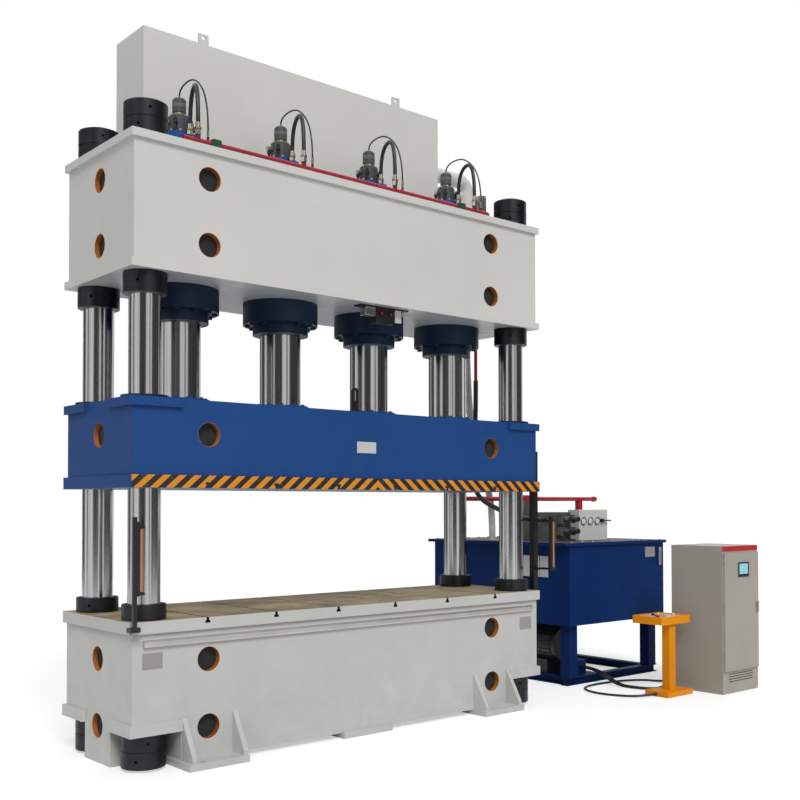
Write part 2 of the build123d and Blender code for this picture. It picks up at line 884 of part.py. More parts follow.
# Cable duct, name plates and the sensor box
with BuildPart() as cable_duct:
    with BuildSketch(Plane.XZ.offset(body_depth / 2)):
        with Locations((0, duct_z)):
            Rectangle(2 * duct_x, duct_high)
    extrude(amount=duct_deep)
    fillet(cable_duct.edges().filter_by(Axis.X).group_by(Axis.Y)[0], radius=14)
save(cable_duct, "cable_duct")

with BuildPart() as name_plates:
    with BuildSketch(Plane.XZ.offset(body_depth / 2)):
        with Locations((-name_plate_x, name_plate_z), (name_plate_x, name_plate_z - 20)):
            RectangleRounded(name_plate_wide, name_plate_high, 6)
    extrude(amount=3)
save(name_plates, "name_plates")

with BuildPart() as sensor_box:
    with BuildSketch(Plane.XY.offset(beam_low - 14)):
        with Locations((sensor_x - 10, sensor_y)):
            Rectangle(620, 120)
    extrude(amount=14)
    with BuildSketch(Plane.XY.offset(beam_low - 170)):
        with Locations((sensor_x, sensor_y)):
            RectangleRounded(230, 110, 12)
    extrude(amount=156)
    with BuildSketch(Plane.XZ.offset(55 - sensor_y)):
        with Locations((sensor_x - 60, beam_low - 70), (sensor_x + 60, beam_low - 70)):
            Circle(20)
    extrude(amount=12)
save(sensor_box, "sensor_box")


def light_bar(hand, bar_x, bar_y, arm_from_x, arm_from_y):
    """A light bar with its thin black backing, held by two arms from a point on the press."""
    with BuildPart() as bar:
        with BuildSketch(Plane.XY.offset(bar_low)):
            with Locations((bar_x, bar_y)):
                Circle(bar_r)
        extrude(amount=bar_high)
        with BuildSketch(Plane.XY.offset(bar_low - 25)):
            with Locations((bar_x - hand * 34, bar_y)):
                Rectangle(34, 30)
        extrude(amount=bar_high + 50)
        for arm_z in (bar_low - 15, bar_low + bar_high - 30):
            with BuildSketch(Plane.XY.offset(arm_z)):
                with Locations((bar_x - hand * 18, bar_y)):
                    RectangleRounded(90, 46, 8)
                with Locations(((bar_x - hand * 34 + arm_from_x) / 2, arm_from_y)):
                    Rectangle(abs(bar_x - hand * 34 - arm_from_x) + 24, 24)
                with Locations((bar_x - hand * 34, (bar_y + arm_from_y) / 2)):
                    Rectangle(24, abs(bar_y - arm_from_y) + 24)
            extrude(amount=24)
    return bar


# Left light bar on a short bracket at the table's corner
left_bar_x = 68 - half_length
left_bar_y = -half_depth - 55
with BuildPart() as curtain_left:
    add(light_bar(1, left_bar_x, left_bar_y, left_bar_x - 58, left_bar_y).part)
    with BuildSketch(Plane.XY.offset(bed_top - 75)):
        with Locations((left_bar_x - 58, -half_depth - 40)):
            Rectangle(90, 80)
    extrude(amount=40)
    with BuildSketch(Plane.XY.offset(bed_top - 75)):
        with Locations((left_bar_x - 58, left_bar_y)):
            RectangleRounded(34, 34, 4)
    extrude(amount=bar_low + bar_high + 65 - bed_top + 75)
save(curtain_left, "curtain_left")

# Right guard post on the table's end, with the other light bar
with BuildPart() as curtain_right:
    add(light_bar(1, half_length + 140, -half_depth - 75, post_x, post_y - 100).part)
    with BuildSketch(Plane.XY.offset(post_low)):
        with Locations((post_x, post_y)):
            Rectangle(post_wide, post_wide)
    extrude(amount=post_top - post_low)
    for arm_z in (bar_low - 15, bar_low + bar_high - 30):
        with BuildSketch(Plane.XY.offset(arm_z)):
            with Locations((post_x, post_y - 70)):
                Rectangle(24, 90)
        extrude(amount=24)
    # bracket to the end of the bed's table
    with BuildSketch(Plane.YZ.offset(half_length)):
        with Locations((post_y, bed_top - bed_plate_thick / 2)):
            Rectangle(post_wide + 20, 70)
    extrude(amount=post_x - half_length)
save(curtain_right, "curtain_right")

# Power unit: tank, lid, frame
unit_mid_x = unit_x + unit_width / 2
unit_mid_y = (unit_rear - unit_front) / 2
unit_depth = unit_rear + unit_front
with BuildPart() as unit_tank:
    with BuildSketch(Plane.XY.offset(unit_low)):
        with Locations((unit_mid_x, unit_mid_y)):
            Rectangle(unit_width - 2 * unit_lip, unit_depth - 2 * unit_lip)
    extrude(amount=unit_lid_top - unit_lid - unit_low)
    with BuildSketch(Plane.XY.offset(unit_lid_top - unit_lid)):
        with Locations((unit_mid_x - (unit_lip_left - unit_lip) / 2, unit_mid_y)):
            Rectangle(unit_width + unit_lip_left - unit_lip, unit_depth)
    extrude(amount=unit_lid)
    with BuildSketch(Plane.XZ.offset(unit_front - unit_lip)):
        with Locations((unit_x + unit_width - 100, 1580)):
            RectangleRounded(60, 270, 12)
    extrude(amount=22)
    with BuildSketch(Plane.XY.offset(unit_low + unit_wall)):
        with Locations((unit_mid_x, unit_mid_y)):
            Rectangle(unit_width - 2 * unit_lip - 2 * unit_wall, unit_depth - 2 * unit_lip - 2 * unit_wall)
    extrude(amount=unit_lid_top - unit_lid - unit_low - unit_wall, mode=Mode.SUBTRACT)
save(unit_tank, "unit_tank")

leg_dx = unit_width / 2 - unit_leg_inset - unit_leg / 2
leg_dy = unit_depth / 2 - unit_leg_inset - unit_leg / 2
with BuildPart() as unit_frame:
    with BuildSketch(Plane.XY.offset(skid_high)):
        for sx in (-1, 1):
            for sy in (-1, 1):
                with Locations((unit_mid_x + sx * leg_dx, unit_mid_y + sy * leg_dy)):
                    Rectangle(unit_leg, unit_leg)
    extrude(amount=unit_low - skid_high)
    for sy in (-1, 1):
        with BuildSketch(Plane.YZ.offset(unit_x + 90)):
            with Locations((unit_mid_y + sy * leg_dy, skid_high / 2)):
                Rectangle(skid_wide, skid_high)
                with Locations((skid_wide / 2, 0), (-skid_wide / 2, 0)):
                    Rectangle(skid_wide - skid_web, skid_high - 2 * skid_web, mode=Mode.SUBTRACT)
        extrude(amount=unit_width - 150)
    for sx in (-1, 1):
        with BuildSketch(Plane.XZ.offset(-unit_mid_y - leg_dy)):
            with Locations((unit_mid_x + sx * leg_dx, skid_high / 2)):
                Rectangle(skid_wide, skid_high)
                with Locations((skid_wide / 2, 0), (-skid_wide / 2, 0)):
                    Rectangle(skid_wide - skid_web, skid_high - 2 * skid_web, mode=Mode.SUBTRACT)
        extrude(amount=2 * leg_dy)
    with BuildSketch(Plane.XY.offset(skid_high - 20)):
        with Locations((unit_mid_x - leg_dx + motor_plate_x / 2, unit_mid_y - leg_dy + motor_plate_y / 2)):
            Rectangle(motor_plate_x, motor_plate_y)
    extrude(amount=20)
    with BuildSketch(Plane.XY.offset(skid_high)):
        with Locations((junction_x, junction_y)):
            Rectangle(junction_wide, junction_deep)
    extrude(amount=junction_high)
save(unit_frame, "unit_frame")

# Motor and pump under the tank, one behind the other
flange_y = motor_y + motor_length
coupling_y = flange_y + motor_flange
pump_y = coupling_y + coupling_length
with BuildPart() as motor_pump:
    with BuildSketch(Plane.XZ.offset(-motor_y)):
        with Locations((motor_x, motor_z)):
            Circle(motor_r - 12)
            with PolarLocations(motor_r - 12, 24):
                Rectangle(24, 8)
    extrude(amount=-motor_length)
    with BuildSketch(Plane.XZ.offset(-motor_y)):
        with Locations((motor_x, motor_z)):
            Circle(motor_r - 20)
    extrude(amount=fan_cover)
    with BuildSketch(Plane.XZ.offset(-flange_y)):
        with Locations((motor_x, motor_z)):
            Circle(motor_r)
    extrude(amount=-motor_flange)
    with BuildSketch(Plane.XZ.offset(-coupling_y)):
        with Locations((motor_x, motor_z)):
            Circle(coupling_r)
    extrude(amount=-coupling_length)
    with BuildSketch(Plane.XZ.offset(-pump_y)):
        with Locations((motor_x, motor_z)):
            Circle(pump_r)
    extrude(amount=-pump_length)
    # feet on the plate
    with BuildSketch(Plane.XY.offset(skid_high)):
        with Locations((motor_x, motor_y + motor_length / 2)):
            Rectangle(300, 420)
    extrude(amount=motor_z - motor_r - skid_high + 30)
    with BuildSketch(Plane.XY.offset(skid_high)):
        with Locations((motor_x, pump_y + pump_length / 2)):
            Rectangle(200, 120)
    extrude(amount=motor_z - pump_r - skid_high + 30)
    # suction pipe up to the tank
    with BuildSketch(Plane.XY.offset(motor_z)):
        with Locations((motor_x, pump_y + pump_length / 2)):
            Circle(suction_r)
    extrude(amount=unit_low - motor_z)
    # terminal box beside the motor
    with BuildSketch(Plane.YZ.offset(motor_x + motor_r - 30)):
        with Locations((motor_y + motor_length / 2, motor_z)):
            Rectangle(180, 150)
    extrude(amount=110)
save(motor_pump, "motor_pump")

# Valve block on the power unit, with its solenoids
solenoid_spots = [(block_x + sx * block_wide / 4, unit_lid_top + z) for sx in (-1, 1) for z in (130, 290)]
block_front = block_y - block_deep / 2
with BuildPart() as unit_valves:
    with BuildSketch(Plane.XY.offset(unit_lid_top)):
        with Locations((block_x, block_y)):
            Rectangle(block_wide, block_deep)
    extrude(amount=block_high)
    with BuildSketch(Plane.XY.offset(unit_lid_top)):
        with Locations((block_x, (block_y + unit_pipe_y) / 2)):
            Rectangle(block_wide + 100, unit_pipe_y - block_y + block_deep + 80)
    extrude(amount=24)
    with BuildSketch(Plane.XZ.offset(-block_front)):
        with Locations(*solenoid_spots):
            Rectangle(100, 110)
    extrude(amount=solenoid_body)
    with BuildSketch(Plane.XZ.offset(solenoid_body - block_front)):
        with Locations(*solenoid_spots):
            Circle(36)
    extrude(amount=solenoid_coil)
    with BuildSketch(Plane.YZ.offset(block_x - block_wide / 2)):
        with Locations((block_y, supply_z)):
            Circle(42)
    extrude(amount=-supply_boss)
    # column of valves that stands behind, up to the delivery pipe
    with BuildSketch(Plane.XY.offset(unit_lid_top)):
        with Locations((block_x, unit_pipe_y)):
            Rectangle(block_wide, 180)
    extrude(amount=unit_pipe_z - unit_pipe_r - unit_lid_top)
save(unit_valves, "unit_valves")

# Red delivery pipe over the power unit, with its stand
with BuildPart() as unit_pipe:
    with BuildSketch(Plane.YZ.offset(unit_pipe_left)):
        with Locations((unit_pipe_y, unit_pipe_z)):
            Circle(unit_pipe_r)
    extrude(amount=unit_pipe_long)
    with BuildSketch(Plane.YZ.offset(unit_pipe_left + unit_pipe_long - unit_pipe_end)):
        with Locations((unit_pipe_y, unit_pipe_z)):
            Circle(unit_pipe_r + 8)
    extrude(amount=unit_pipe_end)
    with BuildSketch(Plane.XY.offset(unit_lid_top)):
        with Locations((pipe_stand_x, unit_pipe_y)):
            Rectangle(90, 60)
    extrude(amount=unit_pipe_z - unit_lid_top)
    with BuildSketch(Plane.XY.offset(unit_pipe_z - unit_pipe_r)):
        with Locations((block_x, unit_pipe_y)):
            Rectangle(block_wide, 90)
    extrude(amount=2 * unit_pipe_r + 20)
save(unit_pipe, "unit_pipe")

# Gauge box with its three gauges
with BuildPart() as gauge_box:
    with BuildSketch(Plane.YZ.offset(box_x)):
        with BuildLine():
            Polyline(
                (-box_front, unit_lid_top),
                (-box_front + box_base_depth, unit_lid_top),
                (-box_front + box_top_depth + 60, box_top),
                (-box_front, box_top),
                close=True,
            )
        make_face()
    extrude(amount=box_width)
    fillet(gauge_box.edges().filter_by(Axis.X).group_by(Axis.Z)[-1], radius=8)
    with BuildSketch(Plane.XZ.offset(box_front)):
        for gauge in range(3):
            with Locations((box_x + gauge_x + gauge * gauge_pitch, gauge_z)):
                Circle(gauge_r)
                Circle(gauge_r - 6, mode=Mode.SUBTRACT)
    extrude(amount=gauge_high)
    with BuildSketch(Plane.XZ.offset(box_front)):
        for gauge in range(3):
            with Locations((box_x + gauge_x + gauge * gauge_pitch, gauge_z)):
                Circle(gauge_r - 6)
    extrude(amount=gauge_high - 8)
save(gauge_box, "gauge_box")

with BuildPart() as gauge_lever:
    with BuildSketch(Plane.XZ.offset(box_front)):
        with Locations((lever_x, gauge_z)):
            Circle(lever_hub_r)
    extrude(amount=46)
    with BuildSketch(Plane.XZ.offset(box_front + 28)):
        with Locations((lever_x + lever_reach / 2, gauge_z)):
            SlotOverall(lever_reach + 20, 16)
    extrude(amount=12)
save(gauge_lever, "gauge_lever")

# Control cabinet: shell, door with screen, door handle
cab_mid_x = cab_x + cab_width / 2
cab_mid_y = cab_y + cab_depth / 2
hinge_x = cab_x + door_side
hinge_y = cab_y - door_thick - door_gap
hinge_zs = [door_low + 120 + k * 590 for k in range(3)]
with BuildPart() as cabinet:
    with BuildSketch():
        with Locations((cab_mid_x, cab_mid_y)):
            Rectangle(cab_width, cab_depth)
    extrude(amount=cab_high)
    with BuildSketch(Plane.XY.offset(door_low)):
        with Locations((cab_mid_x, cab_mid_y - cab_wall / 2)):
            Rectangle(cab_width - 2 * cab_wall, cab_depth - cab_wall)
    extrude(amount=door_top - door_low, mode=Mode.SUBTRACT)
    # mounting plate with rows of switchgear
    with BuildSketch(Plane.XY.offset(door_low)):
        with Locations((cab_mid_x, cab_y + cab_depth - cab_wall - 15)):
            Rectangle(cab_width - 140, 30)
    extrude(amount=door_top - door_low)
    with BuildSketch(Plane.XZ.offset(-cab_y - cab_depth + cab_wall + 30)):
        for row in range(4):
            for block in range(6):
                with Locations((cab_x + 135 + 98 * block, door_low + 230 + 320 * row)):
                    Rectangle(84, 130)
    extrude(amount=90)
    with BuildSketch(Plane.XZ.offset(-cab_y - louvre_deep)):
        for louvre in range(4):
            with Locations((cab_mid_x, plinth_high + 40 + louvre * 30)):
                Rectangle(cab_width - 240, 10)
    extrude(amount=louvre_deep, mode=Mode.SUBTRACT)
    with BuildSketch(Plane.YZ.offset(cab_x - gland_long)):
        with Locations(*[(gland_y, gland_z) for gland_y in gland_ys]):
            Circle(cable_gland_r)
    extrude(amount=gland_long)
    with BuildSketch(Plane.XZ.offset(-cab_y - cab_depth)):
        with Locations((cab_x + 190, gland_z)):
            Circle(cable_gland_r)
    extrude(amount=-gland_long)
    # hinge halves on the shell
    for hinge_z in hinge_zs:
        with BuildSketch(Plane.XY.offset(hinge_z)):
            with Locations((hinge_x, hinge_y)):
                Circle(hinge_r)
            with Locations((hinge_x - hinge_r / 2, (hinge_y + cab_y) / 2)):
                Rectangle(hinge_r, cab_y - hinge_y)
        extrude(amount=hinge_high)
save(cabinet, "cabinet")

with BuildPart() as cabinet_door:
    with BuildSketch(Plane.XY.offset(door_low)):
        with Locations((cab_mid_x, cab_y - door_thick / 2 - door_gap)):
            Rectangle(cab_width - 2 * door_side, door_thick)
    extrude(amount=door_top - door_low)
    with BuildSketch(Plane.XZ.offset(-hinge_y)):
        with Locations((cab_x + hmi_x, hmi_low + hmi_high / 2)):
            RectangleRounded(hmi_width, hmi_high, 8)
    extrude(amount=8)
    for hinge_z in hinge_zs:
        with BuildSketch(Plane.XY.offset(hinge_z - 1)):
            with Locations((hinge_x, hinge_y + door_thick / 2)):
                Rectangle(2 * hinge_r + 2, door_thick + 2 * hinge_r + 2)
        extrude(amount=hinge_high + 2, mode=Mode.SUBTRACT)
        with BuildSketch(Plane.XY.offset(hinge_z + hinge_high)):
            with Locations((hinge_x, hinge_y)):
                Circle(hinge_r)
        extrude(amount=hinge_high)
save(cabinet_door, "cabinet_door")

with BuildPart() as door_handle:
    with BuildSketch(Plane.XZ.offset(-hinge_y)):
        with Locations((handle_x, handle_z)):
            Circle(16)
    extrude(amount=30)
    with BuildSketch(Plane.XZ.offset(-hinge_y + 18)):
        with Locations((handle_x, handle_z - 45)):
            SlotOverall(140, 26, rotation=90)
    extrude(amount=12)
save(door_handle, "door_handle")

# Console
with BuildPart() as console:
    with BuildSketch():
        with Locations((con_x, con_y)):
            RectangleRounded(con_base_x, con_base_y, 20)
    extrude(amount=con_base_high)
    with BuildSketch(Plane.XY.offset(con_base_high)):
        with Locations((con_x, con_y)):
            RectangleRounded(con_post, con_post, 10)
    extrude(amount=con_head_low - con_base_high)
    with BuildSketch(Plane.XY.offset(con_head_low)):
        with Locations((head_x, head_y)):
            RectangleRounded(con_head_x, con_head_y, 24)
    extrude(amount=con_head_high)
    with BuildSketch(Plane.XY.offset(con_top - 12)):
        with Locations((head_x, head_y)):
            Rectangle(con_head_x - 80, con_head_y - 80)
    extrude(amount=12, mode=Mode.SUBTRACT)
    # wells that the push buttons travel in
    with BuildSketch(Plane.XY.offset(panel_z - well_deep)):
        with Locations(*button_spots):
            Circle(button_r + button_gap)
    extrude(amount=well_deep, mode=Mode.SUBTRACT)
    # two pilot lamps
    with BuildSketch(Plane.XY.offset(panel_z - 1)):
        with Locations((head_x + 60, head_y + 90), (head_x + 190, head_y - 40)):
            Circle(16)
    extrude(amount=13)
save(console, "console")

for (button_x, button_y), button_name, cap_r in zip(button_spots, ("stop_button", "start_button"), (34, 22)):
    with BuildPart() as button:
        with BuildSketch(Plane.XY.offset(panel_z - button_stem)):
            with Locations((button_x, button_y)):
                Circle(button_r)
        extrude(amount=button_stem + 12)
        with BuildSketch(Plane.XY.offset(panel_z + 12)):
            with Locations((button_x, button_y)):
                Circle(cap_r)
        extrude(amount=18)
        fillet(button.faces().sort_by(Axis.Z)[-1].edges(), radius=5)
    save(button, button_name)

with BuildPart() as selector:
    with BuildSketch(Plane.XY.offset(panel_z)):
        with Locations((head_x - 30, head_y + 100)):
            Circle(24)
    extrude(amount=10)
    with BuildSketch(Plane.XY.offset(panel_z + 10)):
        with Locations((head_x - 30, head_y + 100)):
            SlotOverall(46, 14)
    extrude(amount=18)
save(selector, "selector")

# Cables on the floor: two from the cabinet over the skid to the junction box,
# and one that loops from the console back to the cabinet
cable_start_x = cab_x - gland_long
cable_end_y = junction_y - junction_deep / 2
for number, (gland_y, end_x) in enumerate(zip(gland_ys, (junction_x - 30, junction_x + 30)), start=1):
    hose(
        [
            (cable_start_x, gland_y, gland_z),
            (cable_start_x - cable_straight, gland_y, gland_z),
            (cable_start_x - 290, gland_y + 10, floor_z),
            (end_x - 20, gland_y + 290, floor_z),
            (end_x - 5, cable_end_y - 600, floor_z),
            (end_x, cable_end_y - 260, junction_cable_z),
            (end_x, cable_end_y, junction_cable_z),
        ],
        cable_r,
        f"cabinet_cable_{number}",
    )
loop_x = cab_x + 190
hose(
    [
        (con_x - con_base_x / 2, con_y, con_base_high / 2),
        (con_x - con_base_x / 2 - cable_straight, con_y, con_base_high / 2),
        (con_x - con_base_x / 2 - 300, con_y + 150, floor_z),
        (con_x - 690, con_y + 600, floor_z),
        (con_x - 480, con_y + 990, floor_z),
        (con_x + 200, con_y + 975, floor_z),
        (loop_x - 60, con_y + 800, floor_z),
        (loop_x, cab_y + cab_depth + 300, floor_z),
        (loop_x, cab_y + cab_depth + cable_straight + gland_long, gland_z),
        (loop_x, cab_y + cab_depth + gland_long, gland_z),
    ],
    cable_r,
    "console_cable",
)
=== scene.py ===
import bpy
import bmesh
import math
from mathutils import Matrix, Vector


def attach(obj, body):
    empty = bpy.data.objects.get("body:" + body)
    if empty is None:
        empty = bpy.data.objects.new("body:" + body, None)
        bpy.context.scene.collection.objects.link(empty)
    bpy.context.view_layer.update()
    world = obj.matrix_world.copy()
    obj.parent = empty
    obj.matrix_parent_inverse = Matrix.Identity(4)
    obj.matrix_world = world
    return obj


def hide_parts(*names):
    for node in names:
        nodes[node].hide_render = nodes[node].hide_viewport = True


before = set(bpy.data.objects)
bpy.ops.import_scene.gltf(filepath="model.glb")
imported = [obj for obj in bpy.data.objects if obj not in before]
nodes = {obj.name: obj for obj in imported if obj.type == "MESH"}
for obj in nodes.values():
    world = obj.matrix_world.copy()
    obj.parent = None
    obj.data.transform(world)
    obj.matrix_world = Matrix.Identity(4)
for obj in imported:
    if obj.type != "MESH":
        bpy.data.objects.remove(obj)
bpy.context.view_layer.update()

# Camera, placed as the photograph was taken

scene = bpy.context.scene
scene.view_settings.view_transform = "Standard"

photo_px = 800
focal_px = 1056.85
middle_px = (451.44, 484.08)
eye = Vector((-6.446, -9.1084, 2.2717))
yaw, pitch, roll = math.radians(42.0548), math.radians(1.1577), math.radians(-0.1154)
ahead = Vector((math.sin(yaw) * math.cos(pitch), math.cos(yaw) * math.cos(pitch), math.sin(pitch)))
side = Vector((math.cos(yaw), -math.sin(yaw), 0))
above = side.cross(ahead)
right = side * math.cos(roll) + above * math.sin(roll)
up = above * math.cos(roll) - side * math.sin(roll)
camera_data = bpy.data.cameras.new("camera")
camera_data.sensor_width = 36
camera_data.lens = focal_px / photo_px * camera_data.sensor_width
camera_data.shift_x = (photo_px / 2 - middle_px[0]) / photo_px
camera_data.shift_y = (middle_px[1] - photo_px / 2) / photo_px
camera_data.clip_end = 200
camera = bpy.data.objects.new("camera", camera_data)
view = Matrix((right, up, -ahead)).transposed().to_4x4()
view.translation = eye
camera.matrix_world = view
scene.collection.objects.link(camera)
scene.camera = camera


# Materials

class Nodes:
    """A small helper that makes and links shader nodes."""

    def __init__(self, name):
        self.material = bpy.data.materials.new(name)
        self.material.use_nodes = True
        self.tree = self.material.node_tree
        self.shader = self.tree.nodes["Principled BSDF"]
        self.place = self.tree.nodes.new("ShaderNodeTexCoord").outputs["Object"]

    def put(self, socket, value):
        if isinstance(value, bpy.types.NodeSocket):
            self.tree.links.new(value, socket)
        elif isinstance(value, tuple) and len(value) == 3 and socket.type == "RGBA":
            socket.default_value = (*value, 1)
        else:
            socket.default_value = value

    def math(self, operation, first, second=0.0, third=0.0):
        node = self.tree.nodes.new("ShaderNodeMath")
        node.operation = operation
        for socket, value in zip(node.inputs, (first, second, third)):
            self.put(socket, value)
        return node.outputs[0]

    def stretch(self, scale):
        node = self.tree.nodes.new("ShaderNodeMapping")
        self.put(node.inputs["Vector"], self.place)
        self.put(node.inputs["Scale"], scale)
        return node.outputs[0]

    def noise(self, scale, detail=4, rough=0.55, where=None):
        node = self.tree.nodes.new("ShaderNodeTexNoise")
        self.put(node.inputs["Vector"], where or self.place)
        self.put(node.inputs["Scale"], scale)
        self.put(node.inputs["Detail"], detail)
        self.put(node.inputs["Roughness"], rough)
        return node.outputs["Fac"]

    def spread(self, value, low, high, out_low=0.0, out_high=1.0):
        node = self.tree.nodes.new("ShaderNodeMapRange")
        for key, number in (("Value", value), ("From Min", low), ("From Max", high),
                            ("To Min", out_low), ("To Max", out_high)):
            self.put(node.inputs[key], number)
        return node.outputs[0]

    def mix(self, factor, first, second):
        node = self.tree.nodes.new("ShaderNodeMix")
        node.data_type = "RGBA"
        first_color, second_color, mixed_color = node.inputs[6], node.inputs[7], node.outputs[2]
        self.put(node.inputs["Factor"], factor)
        self.put(first_color, first)
        self.put(second_color, second)
        return mixed_color

    def axis(self, letter, of=None):
        node = self.tree.nodes.new("ShaderNodeSeparateXYZ")
        self.put(node.inputs[0], of or self.place)
        return node.outputs[letter]

    def normal(self):
        return self.tree.nodes.new("ShaderNodeNewGeometry").outputs["Normal"]

    def bump(self, height, strength, distance):
        node = self.tree.nodes.new("ShaderNodeBump")
        self.put(node.inputs["Height"], height)
        self.put(node.inputs["Strength"], strength)
        self.put(node.inputs["Distance"], distance)
        self.put(self.shader.inputs["Normal"], node.outputs[0])

    def finish(self, color, rough, metal=0.0, coat=0.0):
        self.put(self.shader.inputs["Base Color"], color)
        self.put(self.shader.inputs["Roughness"], rough)
        self.put(self.shader.inputs["Metallic"], metal)
        self.put(self.shader.inputs["Coat Weight"], coat)
        return self.material


def shade(color, factor):
    return tuple(min(1.0, c * factor) for c in color)


def paint(name, color, rough=0.36, tint=0.06, peel=0.00025, low_darkening=0.0, coat=0.0, low=0.0, high=1.0,
          shine=0.4):
    """Sprayed machine paint: soft cloudy tint, fine orange peel and a darkening towards the bottom between
    two heights, which on the bed is painted shade.
    """
    n = Nodes(name)
    cloud = n.spread(n.noise(0.9, 5), 0.3, 0.7)
    body = n.mix(cloud, shade(color, 1 - tint), shade(color, 1 + tint))
    spots = n.spread(n.noise(38, 3, 0.7), 0.6, 0.76)
    body = n.mix(n.math("MULTIPLY", spots, 0.16), body, shade(color, 0.72))
    # Darker towards the bottom between low and high; on the bed this darkening is painted shade.
    if low_darkening:
        fading = n.spread(n.axis("Z"), low, high, 1.0, 0.0)
        low_patches = n.math("MULTIPLY", fading, n.spread(n.noise(3.2, 6, 0.65), 0.35, 0.7))
        body = n.mix(n.math("MULTIPLY", low_patches, low_darkening), body, shade(color, 0.5))
    n.put(n.shader.inputs["Specular IOR Level"], shine)
    n.bump(n.noise(420, 2), 0.25, peel)
    return n.finish(body, n.spread(n.noise(6, 4), 0.3, 0.7, rough - 0.07, rough + 0.09), 0.0, coat)


def steel(name, color, rough=0.3, grain=(4, 4, 600), depth=0.0001, tint=0.1):
    """Bare or blackened steel with tool marks drawn out along one direction."""
    n = Nodes(name)
    lines = n.noise(1.0, 3, 0.6, n.stretch(grain))
    cloud = n.spread(n.noise(3.0, 5), 0.3, 0.7)
    body = n.mix(cloud, shade(color, 1 - tint), shade(color, 1 + tint))
    body = n.mix(n.spread(lines, 0.45, 0.75, 0.0, 0.35), body, shade(color, 0.6))
    n.bump(lines, 0.3, depth)
    return n.finish(body, n.spread(lines, 0.3, 0.7, rough - 0.06, rough + 0.08), 1.0)


def rubber(name, color, rough=0.42, rib=900):
    """Hose and cable covers with a fine wrapped texture and dusty patches."""
    n = Nodes(name)
    wrap = n.noise(rib, 2)
    dust = n.spread(n.noise(9, 5, 0.7), 0.45, 0.72)
    body = n.mix(n.math("MULTIPLY", dust, 0.35), color, shade(color, 2.2))
    n.bump(wrap, 0.35, 0.0004)
    return n.finish(body, n.spread(n.noise(14, 3), 0.3, 0.7, rough - 0.08, rough + 0.1))


def plastic(name, color, rough=0.3, glow=0.0):
    """Moulded plastic with a faint grain."""
    n = Nodes(name)
    body = n.mix(n.spread(n.noise(22, 3), 0.3, 0.7), shade(color, 0.92), shade(color, 1.06))
    n.bump(n.noise(1500, 2), 0.2, 0.0001)
    if glow:
        n.put(n.shader.inputs["Emission Color"], color)
        n.put(n.shader.inputs["Emission Strength"], glow)
    return n.finish(body, n.spread(n.noise(30, 2), 0.3, 0.7, rough - 0.05, rough + 0.08))


white = paint("press_white", (0.66, 0.65, 0.62), 0.36, 0.03, low_darkening=0.3, high=1.5)
# The bed's paint is a greyer copy of the press white and darker towards the bottom: painted shade, as less
# light reaches the low parts of the press.
shaded_bed_white = paint("shaded_bed_white", (0.57, 0.565, 0.55), 0.4, 0.04, low_darkening=0.28, high=1.2)
blue = paint("slide_blue", (0.014, 0.066, 0.235), 0.38, 0.06, shine=0.2)
navy = paint("navy_trim", (0.008, 0.018, 0.045), 0.4, 0.15, shine=0.25)
unit_navy = paint("unit_navy", (0.003, 0.02, 0.1), 0.5, 0.12, low_darkening=0.3, high=0.9, shine=0.08)
cabinet_grey = paint("cabinet_grey", (0.4, 0.375, 0.325), 0.42, 0.04, peel=0.0006, low_darkening=0.25)
gauge_white = paint("gauge_white", (0.6, 0.6, 0.58), 0.36, 0.04)
yellow = paint("console_yellow", (0.86, 0.3, 0.004), 0.42, 0.08, low_darkening=0.25, high=0.7, shine=0.2)
red = paint("pipe_red", (0.38, 0.01, 0.03), 0.28, 0.12, coat=0.3)
dark_red = paint("dark_red", (0.14, 0.01, 0.02), 0.35, 0.15)
orange = paint("rim_orange", (0.42, 0.13, 0.022), 0.45, 0.25, low_darkening=0.3, high=6.0)
green = paint("clamp_green", (0.015, 0.07, 0.035), 0.5, 0.2)
black = paint("trim_black", (0.012, 0.012, 0.014), 0.38, 0.2)
cast = paint("valve_grey", (0.075, 0.076, 0.08), 0.5, 0.25, peel=0.0012, low_darkening=0.4, low=5.7, high=6.3)
# Near-black paint for pieces that stand in for the shade inside holes, slot ends and vents: painted shade.
shade_black = plastic("painted_shade_black", (0.016, 0.017, 0.019), 0.8)
name_plate = paint("name_plate", (0.33, 0.32, 0.31), 0.35, 0.05)
valve_steel = paint("valve_steel", (0.075, 0.072, 0.068), 0.4, 0.3, peel=0.0008, shine=0.6)
nut_black = steel("nut_black", (0.035, 0.037, 0.042), 0.4, (3, 3, 220), 0.0002, 0.25)
zinc = steel("fitting_steel", (0.55, 0.54, 0.5), 0.28, (60, 60, 400))
brass = steel("brass_ring", (0.4, 0.27, 0.1), 0.34, (40, 40, 500))
duct_steel = steel("duct_steel", (0.6, 0.585, 0.55), 0.34, (1.5, 500, 500))
plate_steel = steel("plate_aluminium", (0.66, 0.65, 0.62), 0.36, (8, 500, 500))
copper = steel("light_bar_copper", (0.5, 0.26, 0.13), 0.34, (60, 60, 8))
hose_black = rubber("hose_black", (0.012, 0.012, 0.013))
hose_grey = rubber("hose_grey", (0.5, 0.5, 0.48))
cable_black = rubber("cable_black", (0.01, 0.01, 0.011), 0.36, 1400)


def chrome(name):
    """Ground and chromed bars, with faint light and dark streaks painted along them as reflections."""
    n = Nodes(name)
    lines = n.noise(1.0, 4, 0.6, n.stretch((26, 26, 0.25)))
    rings = n.noise(1.0, 3, 0.6, n.stretch((6, 6, 260)))
    # Painted reflections: the light and dark streaks along the bars are set in their colour.
    body = n.mix(n.spread(lines, 0.38, 0.66), (0.36, 0.36, 0.365), (0.5, 0.497, 0.49))
    n.bump(rings, 0.04, 0.00005)
    return n.finish(body, n.spread(lines, 0.3, 0.7, 0.13, 0.2), 1.0)


column_chrome = chrome("column_chrome")
plunger_chrome = chrome("plunger_chrome")


